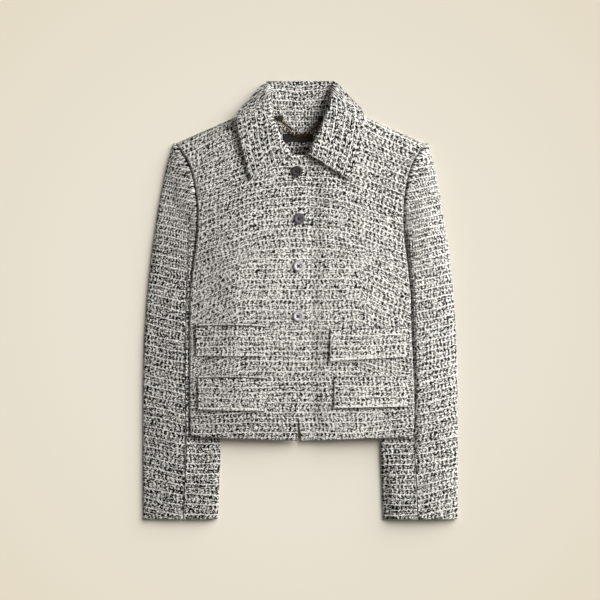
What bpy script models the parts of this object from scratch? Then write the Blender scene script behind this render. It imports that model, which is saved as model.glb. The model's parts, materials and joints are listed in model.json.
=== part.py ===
"""Tweed jacket laid on its back on a flat surface, buttoned, with its sleeves down beside it.

+Z is up off the surface, +Y runs from hem to collar and +X to the wearer's left, so the right
front lies at -X. Tables and sizes are in millimetres. Every cloth piece is a wall built on the
middle surface of its cloth. Tables give one side of the body: x is the distance from the
centre front, and the side's sign turns it to the wearer's right or left.
"""
import math
from collections import namedtuple

import bmesh
import bpy

MM = 0.001
RIGHT, LEFT = -1, 1

CLOTH = 2.2             # tweed wall
HALF = CLOTH / 2
GAP = 0.3               # clearance at every seam and lap
COLLAR_WALL = 4.0       # upper and under collar, sewn together and turned
FLAP_WALL = 3.0         # doubled pocket flap
LABEL_WALL = 0.6
BACK_TOP = CLOTH        # the back lies on the surface
WELD = 0.01

BUTTON_DIAMETER = 17.8
BUTTON_WALL = 3.2
BUTTON_HOLE = 2.0
BUTTON_HOLE_PITCH = 4.2
BUTTON_CLEAR = 0.2      # a flat button's rise on the curved front
TAB_HEIGHT = 8.7        # middle of a chain tab
CHAIN_DIAMETER = 4.4
TAB_SIZE = (8.0, 8.6, 1.6)

OVERLAP_EDGE = 13.6     # right front's edge, past the centre front
UNDERLAP_EDGE = 17.0    # left front's edge, past the centre front
EDGE_SWING = 18.6       # how far both edges swing apart between the last button and the hem
SWING_TOP = -64.0
UNDERLAP_SWING = 1.3    # exponent of the left front's swing, which starts slower
HEM_CENTRE = -225.0
BACK_HEM = 2.0          # how much higher the back's hem lies
LEFT_SIDE_LIFT = 7.4    # how much higher the left side lies, on its fuller sleeve
ROLL_RADIUS = 2.0       # side roll, middle of the cloth
SEAM_TURN = 2.4         # bend of a seam allowance
SEAM_DEPTH = 4.0        # allowance below that bend
SEAM_OFFSET = 2 * HALF + GAP    # between the middles of two allowances that face each other
GROOVE_WIDTH = 1.6      # from the armhole seam to the top of the sleeve beside it
UNDERARM_INSET = 5.0    # how far the back keeps clear of the sleeve at the underarm
UNDERARM_SPAN = 0.2     # share of the armhole over which that fades out
SHOULDER_END = 6.4      # flat end of the shoulder seam at the sleeve
UNDERLAP_SINK = 3.3     # how much lower the left front lies under the right
UNDERLAP_EASE = (16.0, 42.0)    # from where to where it comes back up

# Cross sections of the body from hem to shoulder. The side is the outermost point of the side
# roll, or of the armhole seam above the underarm; the edge is on the front edge, or on the neck
# seam from the row where edge_x starts. Heights are of the middle of the cloth at the centre
# front, over the bust and at the side; under is 1 where the side tucks under and 0 at a seam.
BodyRow = namedtuple(
    "BodyRow", "side_x left_extra side_y edge_x edge_y z_centre z_bust z_side under")
BODY_ROWS = [
    BodyRow(175.5, 3.0, -219.0, None, HEM_CENTRE, 12.5, 14.5, 11.1, 1.0),
    BodyRow(176.8, 4.0, -186.0, None, -190.0, 13.5, 16.0, 11.1, 1.0),
    BodyRow(177.0, 3.8, -150.0, None, -152.0, 15.0, 17.2, 11.1, 1.0),
    BodyRow(177.0, 2.2, -110.0, None, -111.0, 16.5, 18.4, 11.1, 1.0),
    BodyRow(177.0, 0.2, -70.0, None, -70.0, 19.0, 20.4, 11.1, 1.0),
    BodyRow(176.8, -0.8, -30.0, None, -29.0, 21.0, 22.6, 11.1, 1.0),
    BodyRow(175.8, -1.0, 8.0, None, 10.0, 22.5, 24.0, 11.2, 1.0),
    BodyRow(172.6, -1.2, 42.0, None, 45.0, 23.5, 24.6, 11.8, 1.0),
    BodyRow(168.4, -0.6, 72.0, None, 75.0, 24.0, 24.6, 12.8, 1.0),
    BodyRow(165.2, 0.0, 95.0, None, 97.0, 24.0, 24.6, 14.6, 0.6),
    BodyRow(164.0, 0.0, 108.0, None, 110.0, 24.0, 24.4, 16.2, 0.2),
    BodyRow(163.4, 0.0, 126.0, None, 128.0, 24.0, 24.0, 17.0, 0.0),
    BodyRow(163.8, 0.0, 149.0, None, 151.0, 23.5, 23.5, 17.0, 0.0),
    BodyRow(166.5, 0.0, 176.0, None, 178.0, 23.0, 22.5, 17.0, 0.0),
    BodyRow(172.0, 0.0, 203.0, None, 205.0, 22.5, 21.5, 16.5, 0.0),
    BodyRow(180.0, 0.0, 224.0, None, 228.0, 22.0, 20.5, 15.5, 0.0),
    BodyRow(186.0, 0.0, 233.5, 24.0, 234.0, 21.0, 19.0, 14.0, 0.0),
    BodyRow(191.0, 0.0, 240.5, 52.0, 258.0, 20.0, 17.0, 12.0, 0.0),
    BodyRow(195.5, 0.0, 246.5, 72.0, 285.0, 16.0, 11.5, 8.5, 0.0),
    BodyRow(199.2, 0.0, 251.5, 80.0, 304.0, 3.9, 3.9, 3.9, 0.0),
]
UNDERARM_ROW = 9
BUST_AT = 0.55          # share of the half width where the front is highest
SIDE_LEVEL = 0.75       # how much the front levels out again before its side
TOP_STEPS = 11
ROLL_STEPS = 5

# Cross sections of a sleeve from the armhole to the cuff, each a flat ring between the sleeve's
# inner and outer edge, and bow, how much of the armhole's curve the ring keeps. Heights are of the
# ring's top at its inner part, middle and outer part on each sleeve; start is the share of the
# width where it comes out from under the body. The right sleeve lies flatter than the left one.
# The first rings lie along the armhole itself.
SleeveRing = namedtuple("SleeveRing", "outer_x outer_y inner_x inner_y bow right left")
Rise = namedtuple("Rise", "z_in z_mid z_out start")
SLEEVE_RINGS = [
    SleeveRing(199.2, 251.5, 165.2, 95.0, 1.0,
               Rise(8.6, 9.0, 8.6, 0.10), Rise(8.6, 9.0, 8.6, 0.10)),
    SleeveRing(202.0, 246.5, 164.5, 90.0, 1.0,
               Rise(7.6, 15.0, 14.0, 0.04), Rise(8.6, 16.5, 15.5, 0.04)),
    SleeveRing(207.0, 237.0, 162.5, 83.0, 0.3,
               Rise(6.4, 15.5, 14.0, 0.12), Rise(9.6, 20.0, 18.5, 0.12)),
    SleeveRing(212.5, 219.0, 158.0, 68.0, 0.0,
               Rise(5.4, 14.0, 12.5, 0.21), Rise(10.6, 21.0, 20.0, 0.21)),
    SleeveRing(221.0, 178.0, 153.0, 42.0, 0.0,
               Rise(5.0, 11.8, 10.4, 0.27), Rise(11.5, 21.5, 20.5, 0.27)),
    SleeveRing(230.0, 126.0, 149.0, 10.0, 0.0,
               Rise(5.0, 10.6, 9.4, 0.32), Rise(11.5, 21.5, 20.5, 0.31)),
    SleeveRing(238.5, 66.0, 145.5, -30.0, 0.0,
               Rise(5.0, 10.2, 9.0, 0.35), Rise(11.5, 21.0, 20.5, 0.34)),
    SleeveRing(245.0, -2.0, 141.5, -80.0, 0.0,
               Rise(5.0, 10.2, 9.0, 0.37), Rise(11.5, 20.0, 20.0, 0.36)),
    SleeveRing(249.5, -76.0, 138.0, -135.0, 0.0,
               Rise(5.0, 10.2, 9.0, 0.38), Rise(11.5, 19.0, 18.5, 0.39)),
    SleeveRing(251.0, -150.0, 133.5, -190.0, 0.0,
               Rise(5.0, 10.2, 9.0, 0.40), Rise(11.5, 17.5, 16.5, 0.42)),
    SleeveRing(251.2, -225.0, 129.3, -238.0, 0.0,
               Rise(5.0, 10.2, 9.0, 0.43), Rise(11.0, 15.5, 14.5, 0.43)),
    SleeveRing(251.2, -290.0, 131.0, -294.0, 0.0,
               Rise(8.6, 9.8, 8.4, 0.10), Rise(7.4, 13.5, 12.5, 0.06)),
    SleeveRing(250.8, -351.0, 133.6, -351.0, 0.0,
               Rise(8.6, 9.8, 8.4, 0.10), Rise(7.4, 12.5, 11.5, 0.06)),
]
ARMHOLE_RINGS = 2
RISE_SPAN = 0.14        # share of the width over which a ring rises to its middle
FALL = (0.6, 0.9)       # shares of the width between which it falls to its outer height
RING_OUTER_END = 4.5    # height of a ring's outer edge
RING_SQUARENESS = 4.0   # exponent of a ring's rounded edges
SLEEVE_SEAM = 3         # ring step of the forearm seam, and of the hind seam below it
SLEEVE_SEAM_PULL = 0.7  # each sleeve piece stops this short of its seams
SEAM_SHIFT = 0.72       # the forearm seam moves outward down the sleeve by this exponent
BACK_SEAM_EASE = (0.75, 0.95)   # shares of the armhole where the seam under it moves out

# Collar sections from the front end to the centre back: the neck seam, the roll line and the
# outer edge, each with the height of the collar's middle, and the radius of the roll.
CollarRow = namedtuple(
    "CollarRow", "neck_x neck_y neck_z roll_x roll_y roll_z edge_x edge_y edge_z radius left_shift")
COLLAR_ROWS = [
    CollarRow(13.0, 226.5, 26.0, 15.2, 233.0, 30.5, 78.7, 190.1, 27.0, 2.2, 3.0),
    CollarRow(32.0, 236.0, 24.4, 22.9, 246.7, 31.0, 84.0, 206.9, 26.5, 3.0, 5.0),
    CollarRow(49.0, 251.0, 22.8, 32.0, 262.0, 30.0, 91.7, 233.0, 25.5, 3.0, 7.0),
    CollarRow(66.0, 269.5, 21.0, 39.7, 280.3, 28.5, 97.8, 262.0, 23.5, 3.0, 6.0),
    CollarRow(79.0, 291.0, 15.2, 45.8, 306.4, 25.5, 102.4, 291.0, 20.0, 3.0, 3.0),
    CollarRow(79.0, 300.5, 10.2, 48.0, 325.0, 21.5, 99.4, 301.8, 16.5, 3.0, 1.0),
    CollarRow(65.0, 299.5, 6.4, 48.8, 336.0, 17.5, 82.4, 320.0, 13.0, 3.0, 0.0),
    CollarRow(48.0, 294.5, 5.0, 50.0, 343.6, 14.5, 65.0, 340.0, 12.0, 3.0, 0.0),
    CollarRow(34.0, 288.5, 4.6, 47.0, 340.0, 9.0, 52.0, 350.4, 9.5, 0.0, 0.0),
    CollarRow(17.5, 277.5, 4.6, 22.0, 338.0, 7.0, 24.8, 350.4, 7.5, 0.0, 0.0),
]
COLLAR_CENTRE_BACK = CollarRow(0.0, 267.5, 4.6, 0.0, 338.0, 6.5, 0.0, 350.4, 7.0, 0.0, 0.0)
ROLL_REACH = 6.0        # how far from the roll line its bend begins
ROLL_SHARE = 0.45       # most of a section's stand or leaf that the bend takes
UPRIGHT_STAND = 0.7     # where the centre back, which isn't rolled, stops being stand
UPRIGHT_LEAF = 0.5      # and where it becomes leaf

# Pocket flaps: inner and outer end, top seam and lower edge at each end.
Flap = namedtuple("Flap", "name side inner outer top_inner top_outer low_inner low_outer")
FLAPS = [
    Flap("pocket_flap_right_upper", RIGHT, 56.8, 167.2, -43.0, -42.0, -89.6, -89.6),
    Flap("pocket_flap_right_lower", RIGHT, 54.4, 164.0, -126.0, -125.0, -177.6, -176.0),
    Flap("pocket_flap_left_upper", LEFT, 47.2, 170.0, -49.6, -46.0, -97.6, -91.0),
    Flap("pocket_flap_left_lower", LEFT, 53.6, 171.0, -125.0, -122.0, -173.0, -170.0),
]
FLAP_LIFT = 1.2         # how far a flap's lower edge stands off the front
FLAP_STEPS = (8, 3)

# Half of a button's section as shares of its radius and its wall.
ButtonPoint = namedtuple("ButtonPoint", "radius height")
BUTTON_PROFILE = [
    ButtonPoint(0.0, 0.62), ButtonPoint(0.5, 0.62), ButtonPoint(0.62, 1.0), ButtonPoint(0.85, 1.0),
    ButtonPoint(1.0, 0.55), ButtonPoint(0.9, 0.0), ButtonPoint(0.0, 0.0),
]
BUTTON_SIDES = 24
HOLE_SIDES = 8
HOLES = 4
Button = namedtuple("Button", "x y")
BUTTONS = [Button(-5.6, 205.1), Button(-1.6, 129.8), Button(-2.6, 54.1), Button(-3.4, -25.8)]

NECK_DROP = [(80.0, 304.0), (56.0, 300.0), (33.0, 290.0), (14.0, 277.0), (0.0, 270.0)]
SIDE_SEAM_INSET = 9.0   # from the sleeve's inner edge to the back's edge
TUCK_CLEAR = 3.0        # from the sleeve's inner edge to where the tuck slopes down
TUCK_SLOPE = 9.0        # length of that slope, which ends over the back's edge
TUCK_REST = 1.32        # from the back's edge, less its clearance, to the middle of the tuck
TUCK_STEPS = 3
FACING = [(0.0, 205.0), (26.0, 205.0), (44.0, 284.0), (34.0, 280.0), (18.0, 272.5), (0.0, 264.0)]
LABEL = (-28.0, 20.0, 253.3, 266.4)
CHAIN_ROUTE = [
    (-27.6, 286.0, 10.6), (-25.4, 279.0, 10.6), (-20.6, 272.8, 10.4), (-14.0, 267.4, 10.0),
    (-6.6, 263.2, 9.0), (0.8, 261.8, 8.6), (8.2, 263.8, 9.0), (14.2, 267.8, 10.0),
    (20.4, 273.4, 10.4), (26.4, 278.8, 10.6), (28.6, 284.6, 10.6),
]
CHAIN_TABS = [("chain_tab_right", -32.0, 291.4), ("chain_tab_left", 32.4, 290.2)]

Finish = namedtuple("Finish", "name colour roughness metallic")
TWEED = Finish("ecru_black_tweed", (0.36, 0.35, 0.33), 0.9, 0.0)
LABEL_CLOTH = Finish("black_woven_label", (0.015, 0.014, 0.012), 0.7, 0.0)
SHELL = Finish("smoke_pearl_shell", (0.32, 0.31, 0.33), 0.3, 0.0)
BRASS = Finish("brass_chain", (0.55, 0.40, 0.14), 0.3, 1.0)


def mix(a, b, t):
    return a + (b - a) * t


def smooth_step(t):
    t = min(max(t, 0.0), 1.0)
    return t * t * (3.0 - 2.0 * t)


def ease(span, value):
    """0 before the span, 1 past it and a smooth change between."""
    return smooth_step((value - span[0]) / (span[1] - span[0]))


def material(finish):
    """The finish's Principled material, made once."""
    found = bpy.data.materials.get(finish.name)
    if found:
        return found
    made = bpy.data.materials.new(finish.name)
    made.use_nodes = True
    shader = made.node_tree.nodes["Principled BSDF"]
    shader.inputs["Base Color"].default_value = (*finish.colour, 1.0)
    shader.inputs["Roughness"].default_value = finish.roughness
    shader.inputs["Metallic"].default_value = finish.metallic
    return made


def add_object(name, data, finish, collection):
    made = bpy.data.objects.new(name, data)
    data.materials.append(material(finish))
    collection.objects.link(made)
    return made


def cloth(name, rows, wall, finish, collection):
    """A cloth piece: a loft through rows of points given in millimetres, made a wall."""
    count = len(rows[0])
    points = [tuple(value * MM for value in point) for row in rows for point in row]
    faces = []
    for first in range(0, (len(rows) - 1) * count, count):
        for a in range(first, first + count - 1):
            faces.append((a, a + 1, a + count + 1, a + count))
    mesh = bpy.data.meshes.new(name)
    mesh.from_pydata(points, [], faces)
    mesh.shade_smooth()
    made = add_object(name, mesh, finish, collection)
    split = made.modifiers.new("same facets on both faces", "TRIANGULATE")
    split.quad_method = "FIXED"
    solid = made.modifiers.new("cloth wall", "SOLIDIFY")
    solid.thickness = wall * MM
    solid.offset = 0.0
    solid.use_quality_normals = True
    return made


def flat_piece(name, outline, low, wall, finish, collection):
    """A flat piece of an outline, lying with its underside at height low."""
    curve = bpy.data.curves.new(name, "CURVE")
    curve.dimensions = "2D"
    curve.fill_mode = "BOTH"
    curve.extrude = wall / 2 * MM
    spline = curve.splines.new("POLY")
    spline.points.add(len(outline) - 1)
    for point, (x, y) in zip(spline.points, outline):
        point.co = (x * MM, y * MM, 0.0, 1.0)
    spline.use_cyclic_u = True
    made = add_object(name, curve, finish, collection)
    made.location.z = (low + wall / 2) * MM
    weld = made.modifiers.new("closed rim", "WELD")
    weld.merge_threshold = WELD * MM
    return made


def front_edge(side, y):
    """How far a front's edge lies past the centre front at height y on the body."""
    t = min(max((SWING_TOP - y) / (SWING_TOP - HEM_CENTRE), 0.0), 1.0)
    if side == RIGHT:
        return -OVERLAP_EDGE + EDGE_SWING * (1.0 - (1.0 - t) ** 2)
    return -UNDERLAP_EDGE + EDGE_SWING * t ** UNDERLAP_SWING


def row_ends(row, side):
    """A body row's point on the edge or neck, and its outermost point."""
    edge_x = front_edge(side, row.edge_y) if row.edge_x is None else row.edge_x
    side_x = row.side_x + (row.left_extra if side == LEFT else 0.0)
    return edge_x, row.edge_y, side_x, row.side_y


def front_height(row, x, side_x, side):
    """Height of the front's cloth at distance x from the centre front."""
    q = min(max(x / side_x, 0.0), 1.0)
    z_side = row.z_side + (LEFT_SIDE_LIFT * row.under if side == LEFT else 0.0)
    if q < BUST_AT:
        z = mix(row.z_centre, row.z_bust, smooth_step(q / BUST_AT))
    else:
        t = (q - BUST_AT) / (1.0 - BUST_AT)
        z = mix(row.z_bust, z_side, mix(t ** 2, smooth_step(t), SIDE_LEVEL))
    if side == LEFT:
        z -= UNDERLAP_SINK * (1.0 - ease(UNDERLAP_EASE, x))
    return z


def sleeve_inner_x(y):
    """Distance of the sleeve's inner edge from the centre front at y."""
    for a, b in zip(SLEEVE_RINGS, SLEEVE_RINGS[1:]):
        if a.inner_y >= y >= b.inner_y:
            return mix(a.inner_x, b.inner_x, (a.inner_y - y) / (a.inner_y - b.inner_y))
    return SLEEVE_RINGS[0].inner_x


def front_row(row, side):
    """One section of a front: across the top, round the side and on under, as (x, y, z)."""
    edge_x, edge_y, side_x, side_y = row_ends(row, side)
    seam = 1.0 - row.under
    at_shoulder = row is BODY_ROWS[-1]
    radius = mix(ROLL_RADIUS, SEAM_TURN, seam)
    reach = side_x - (SHOULDER_END if at_shoulder else radius)
    points = []
    for i in range(TOP_STEPS):
        x = mix(edge_x, reach, i / (TOP_STEPS - 1))
        y = mix(edge_y, side_y, i / (TOP_STEPS - 1))
        points.append((x, y, front_height(row, x, side_x, side)))
    if at_shoulder:
        count = ROLL_STEPS + TUCK_STEPS
        for i in range(1, count + 1):
            points.append((reach + SHOULDER_END * i / count, side_y, row.z_side))
        return points
    top = points[-1][2]
    turn = math.radians(mix(180.0, 90.0, seam))
    for i in range(1, ROLL_STEPS + 1):
        angle = turn * i / ROLL_STEPS
        drop = radius * (1.0 - math.cos(angle))
        points.append((reach + radius * math.sin(angle), side_y, top - drop))
    end_x, _, end_z = points[-1]
    depth = min(SEAM_DEPTH, end_z - BACK_TOP - 2 * GAP)
    inner = sleeve_inner_x(side_y) - TUCK_CLEAR
    tuck = [((end_x + inner) / 2, end_z), (inner, end_z),
            (inner - TUCK_SLOPE, BACK_TOP + GAP + TUCK_REST)]
    for i, (tuck_x, tuck_z) in enumerate(tuck):
        drop_z = end_z - depth * (i + 1) / TUCK_STEPS
        points.append((mix(tuck_x, end_x, seam), side_y, mix(tuck_z, drop_z, seam)))
    return points


def build_fronts(collection):
    for name, side in (("front_right", RIGHT), ("front_left", LEFT)):
        rows = [[(side * x, y, z) for x, y, z in front_row(row, side)] for row in BODY_ROWS]
        cloth(name, rows, CLOTH, TWEED, collection)


def front_surface(side, x, y):
    """Height of the middle of a front's cloth at a point below the underarm."""
    for low, high in zip(BODY_ROWS, BODY_ROWS[1:]):
        ends = [row_ends(row, side) for row in (low, high)]
        ys = [mix(e[1], e[3], (x - e[0]) / (e[2] - e[0])) for e in ends]
        if ys[0] <= y <= ys[1]:
            t = (y - ys[0]) / (ys[1] - ys[0])
            zs = [front_height(row, x, e[2], side) for row, e in zip((low, high), ends)]
            return mix(zs[0], zs[1], t)
    raise ValueError("no front at that point")


ARMHOLE = BODY_ROWS[UNDERARM_ROW:]


def armhole_share(j):
    """How far up the armhole its row j lies, from 0 at the underarm to 1 at the shoulder."""
    low, high = ARMHOLE[0].side_y, ARMHOLE[-1].side_y
    return (ARMHOLE[j].side_y - low) / (high - low)


def armhole_point(j, offset):
    """Armhole row j in plan, moved away from the body by offset."""
    before = ARMHOLE[max(j - 1, 0)]
    after = ARMHOLE[min(j + 1, len(ARMHOLE) - 1)]
    run_x = after.side_x - before.side_x
    run_y = after.side_y - before.side_y
    length = math.hypot(run_x, run_y)
    return (ARMHOLE[j].side_x + offset * run_y / length,
            ARMHOLE[j].side_y - offset * run_x / length)


def ring_share(k, j):
    """How far across sleeve ring k its step j lies, from 0 at the inner edge to 1 at the outer."""
    return armhole_share(j) ** mix(1.0, SEAM_SHIFT, k / (len(SLEEVE_RINGS) - 1))


def ring_plan(k, j, on_top):
    """Plan position of step j across sleeve ring k."""
    if k < ARMHOLE_RINGS:
        offset = SEAM_OFFSET + k * GROOVE_WIDTH
        if k == 0 and not on_top:
            offset = mix(GAP, SEAM_OFFSET, ease(BACK_SEAM_EASE, armhole_share(j)))
        return armhole_point(j, offset)
    ring = SLEEVE_RINGS[k]
    across = ring_share(k, j)
    first, last = ARMHOLE[0], ARMHOLE[-1]
    bow_x = ring.bow * (ARMHOLE[j].side_x - mix(first.side_x, last.side_x, armhole_share(j)))
    return (mix(ring.inner_x, ring.outer_x, across) + bow_x,
            mix(ring.inner_y, ring.outer_y, across))


def ring_point(side, k, j, on_top):
    """Point j of a sleeve ring's upper or lower half, in the middle of its cloth."""
    ring = SLEEVE_RINGS[k]
    rise = ring.right if side == RIGHT else ring.left
    across = ring_share(k, j)
    roundness = (1.0 - abs(2.0 * across - 1.0) ** RING_SQUARENESS) ** (1.0 / RING_SQUARENESS)
    if on_top:
        far = mix(rise.z_in, rise.z_mid, smooth_step((across - rise.start) / RISE_SPAN))
        far = mix(far, rise.z_out, ease(FALL, across)) - HALF
    else:
        far = HALF
    x, y = ring_plan(k, j, on_top)
    return x, y, mix(mix(rise.z_in / 2, RING_OUTER_END, across), far, roundness)


def pull_in(points, amount):
    """A strip's points with its two ends drawn in along it."""
    def toward(a, b):
        length = math.dist(a, b)
        return tuple(mix(p, q, amount / length) for p, q in zip(a, b))
    return [toward(points[0], points[1]), *points[1:-1], toward(points[-1], points[-2])]


def build_sleeves(collection):
    last = len(ARMHOLE) - 1
    over = [(j, True) for j in range(SLEEVE_SEAM, last + 1)]
    over += [(j, False) for j in range(last - 1, SLEEVE_SEAM - 1, -1)]
    under = [(j, False) for j in range(SLEEVE_SEAM, 0, -1)]
    under += [(j, True) for j in range(0, SLEEVE_SEAM + 1)]
    for side, word in ((RIGHT, "right"), (LEFT, "left")):
        for part, steps in (("top", over), ("under", under)):
            rows = []
            for k in range(len(SLEEVE_RINGS)):
                ring = [ring_point(side, k, j, on_top) for j, on_top in steps]
                ring = pull_in(ring, SLEEVE_SEAM_PULL)
                rows.append([(side * x, y, z) for x, y, z in ring])
            cloth(f"sleeve_{word}_{part}", rows, CLOTH, TWEED, collection)


def build_back(collection):
    half = [(0.0, HEM_CENTRE + BACK_HEM)]
    for row in BODY_ROWS[:UNDERARM_ROW]:
        half.append((sleeve_inner_x(row.side_y) - SIDE_SEAM_INSET, row.side_y))
    for j in range(len(ARMHOLE)):
        inset = UNDERARM_INSET * (1.0 - smooth_step(armhole_share(j) / UNDERARM_SPAN))
        half.append(armhole_point(j, -inset))
    half += NECK_DROP
    other = [(-x, y) for x, y in half[-2:0:-1]]
    flat_piece("back", half + other, 0.0, CLOTH, TWEED, collection)


def collar_row(row, side):
    """One section of the collar from the neck seam over the roll to its edge."""
    shift = row.left_shift if side == LEFT else 0.0
    neck = (row.neck_x, row.neck_y, row.neck_z)
    roll = (row.roll_x - shift, row.roll_y, row.roll_z)
    edge = (row.edge_x, row.edge_y, row.edge_z)

    def on_the_way(to, height):
        length = math.hypot(to[0] - roll[0], to[1] - roll[1])
        share = min(ROLL_REACH / length, ROLL_SHARE)
        return (mix(roll[0], to[0], share), mix(roll[1], to[1], share), height)

    sunk = row.roll_z - 2.0 * row.radius
    if row.radius:
        stand_end = on_the_way(neck, sunk)
        leaf_start = on_the_way(edge, row.roll_z)
    else:
        stand_end = tuple(mix(a, b, UPRIGHT_STAND) for a, b in zip(neck, roll))
        leaf_start = tuple(mix(a, b, UPRIGHT_LEAF) for a, b in zip(roll, edge))
    bend = [stand_end, (roll[0], roll[1], sunk), roll, leaf_start]
    points = [tuple(mix(a, b, t) for a, b in zip(neck, stand_end)) for t in (0.0, 0.5)]
    for i in range(ROLL_STEPS + 1):
        t = i / ROLL_STEPS
        weights = ((1 - t) ** 3, 3 * t * (1 - t) ** 2, 3 * t * t * (1 - t), t ** 3)
        points.append(tuple(sum(w * p[axis] for w, p in zip(weights, bend)) for axis in range(3)))
    points += [tuple(mix(a, b, t) for a, b in zip(leaf_start, edge)) for t in (1 / 3, 2 / 3, 1.0)]
    return [(side * x, y, z) for x, y, z in points]


def build_collar(collection):
    rows = [collar_row(row, RIGHT) for row in COLLAR_ROWS]
    rows.append(collar_row(COLLAR_CENTRE_BACK, RIGHT))
    rows += [collar_row(row, LEFT) for row in reversed(COLLAR_ROWS)]
    cloth("collar", rows, COLLAR_WALL, TWEED, collection)


def build_flaps(collection):
    across, down = FLAP_STEPS
    for flap in FLAPS:
        rows = []
        for r in range(down + 1):
            t = r / down
            row = []
            for c in range(across + 1):
                u = c / across
                x = mix(flap.inner, flap.outer, u)
                top = mix(flap.top_inner, flap.top_outer, u)
                y = mix(top, mix(flap.low_inner, flap.low_outer, u), t)
                z = front_surface(flap.side, x, y) + HALF + GAP + FLAP_WALL / 2 + FLAP_LIFT * t
                row.append((flap.side * x, y, z))
            rows.append(row)
        cloth(flap.name, rows, FLAP_WALL, TWEED, collection)


def build_neck_pieces(collection):
    outline = FACING + [(-x, y) for x, y in FACING[-2:0:-1]]
    flat_piece("back_neck_facing", outline, BACK_TOP + GAP, CLOTH, TWEED, collection)
    x0, x1, y0, y1 = LABEL
    corners = [(x0, y0), (x1, y0), (x1, y1), (x0, y1)]
    low = BACK_TOP + CLOTH + 2 * GAP
    flat_piece("neck_label", corners, low, LABEL_WALL, LABEL_CLOTH, collection)


def build_chain(collection):
    curve = bpy.data.curves.new("hanger_chain", "CURVE")
    curve.dimensions = "3D"
    curve.bevel_depth = CHAIN_DIAMETER / 2 * MM
    curve.bevel_resolution = 2
    curve.use_fill_caps = True
    spline = curve.splines.new("POLY")
    spline.points.add(len(CHAIN_ROUTE) - 1)
    for point, place in zip(spline.points, CHAIN_ROUTE):
        point.co = (*(value * MM for value in place), 1.0)
    chain = add_object("hanger_chain", curve, BRASS, collection)
    weld = chain.modifiers.new("closed ends", "WELD")
    weld.merge_threshold = WELD * MM
    for name, x, y in CHAIN_TABS:
        mesh = bpy.data.meshes.new(name)
        shape = bmesh.new()
        bmesh.ops.create_cube(shape, size=1.0)
        bmesh.ops.scale(shape, vec=[value * MM for value in TAB_SIZE], verts=shape.verts)
        shape.to_mesh(mesh)
        shape.free()
        tab = add_object(name, mesh, LABEL_CLOTH, collection)
        tab.location = (x * MM, y * MM, TAB_HEIGHT * MM)


def build_buttons(collection, cutters):
    radius = BUTTON_DIAMETER / 2
    reach = BUTTON_HOLE_PITCH / math.sqrt(2)
    for number, place in enumerate(BUTTONS, 1):
        mesh = bpy.data.meshes.new(f"button_{number}")
        points = [(p.radius * radius * MM, 0.0, p.height * BUTTON_WALL * MM)
                  for p in BUTTON_PROFILE]
        mesh.from_pydata(points, [(i, i + 1) for i in range(len(points) - 1)], [])
        button = add_object(f"button_{number}", mesh, SHELL, collection)
        base = front_surface(RIGHT, -place.x, place.y) + HALF + GAP
        button.location = (place.x * MM, place.y * MM, (base + BUTTON_CLEAR) * MM)
        turn = button.modifiers.new("turned", "SCREW")
        turn.steps = BUTTON_SIDES
        turn.render_steps = BUTTON_SIDES
        turn.use_merge_vertices = True
        turn.merge_threshold = WELD * MM
        for i in range(HOLES):
            angle = math.tau * (i + 0.5) / HOLES
            bpy.ops.mesh.primitive_cylinder_add(
                vertices=HOLE_SIDES, radius=BUTTON_HOLE / 2 * MM, depth=4 * BUTTON_WALL * MM,
                location=button.location)
            drill = bpy.context.object
            drill.name = f"button_{number}_drill_{i}"
            drill.location.x += reach * math.cos(angle) * MM
            drill.location.y += reach * math.sin(angle) * MM
            for owner in list(drill.users_collection):
                owner.objects.unlink(drill)
            cutters.objects.link(drill)
            drill.hide_render = True
            drill.display_type = "WIRE"
            cut = button.modifiers.new("thread hole", "BOOLEAN")
            cut.operation = "DIFFERENCE"
            cut.object = drill


def main():
    for old in list(bpy.data.objects):
        bpy.data.objects.remove(old)
    jacket = bpy.data.collections.new("tweed_jacket")
    cutters = bpy.data.collections.new("cutters")
    for collection in (jacket, cutters):
        bpy.context.scene.collection.children.link(collection)
    build_back(jacket)
    build_fronts(jacket)
    build_sleeves(jacket)
    build_collar(jacket)
    build_flaps(jacket)
    build_neck_pieces(jacket)
    build_chain(jacket)
    build_buttons(jacket, cutters)


main()
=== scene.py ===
"""Tweed jacket laid on its back, buttoned, sleeves down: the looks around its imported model.

Sizes are in millimetres in the model's frame: +Z up off the surface, +Y from hem to collar, +X to
the wearer's left. Right and left are the wearer's, so the right front lies at -X.
"""
import json
import math
from collections import namedtuple

import bpy
import numpy as np
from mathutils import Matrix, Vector
from mathutils.bvhtree import BVHTree

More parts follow.
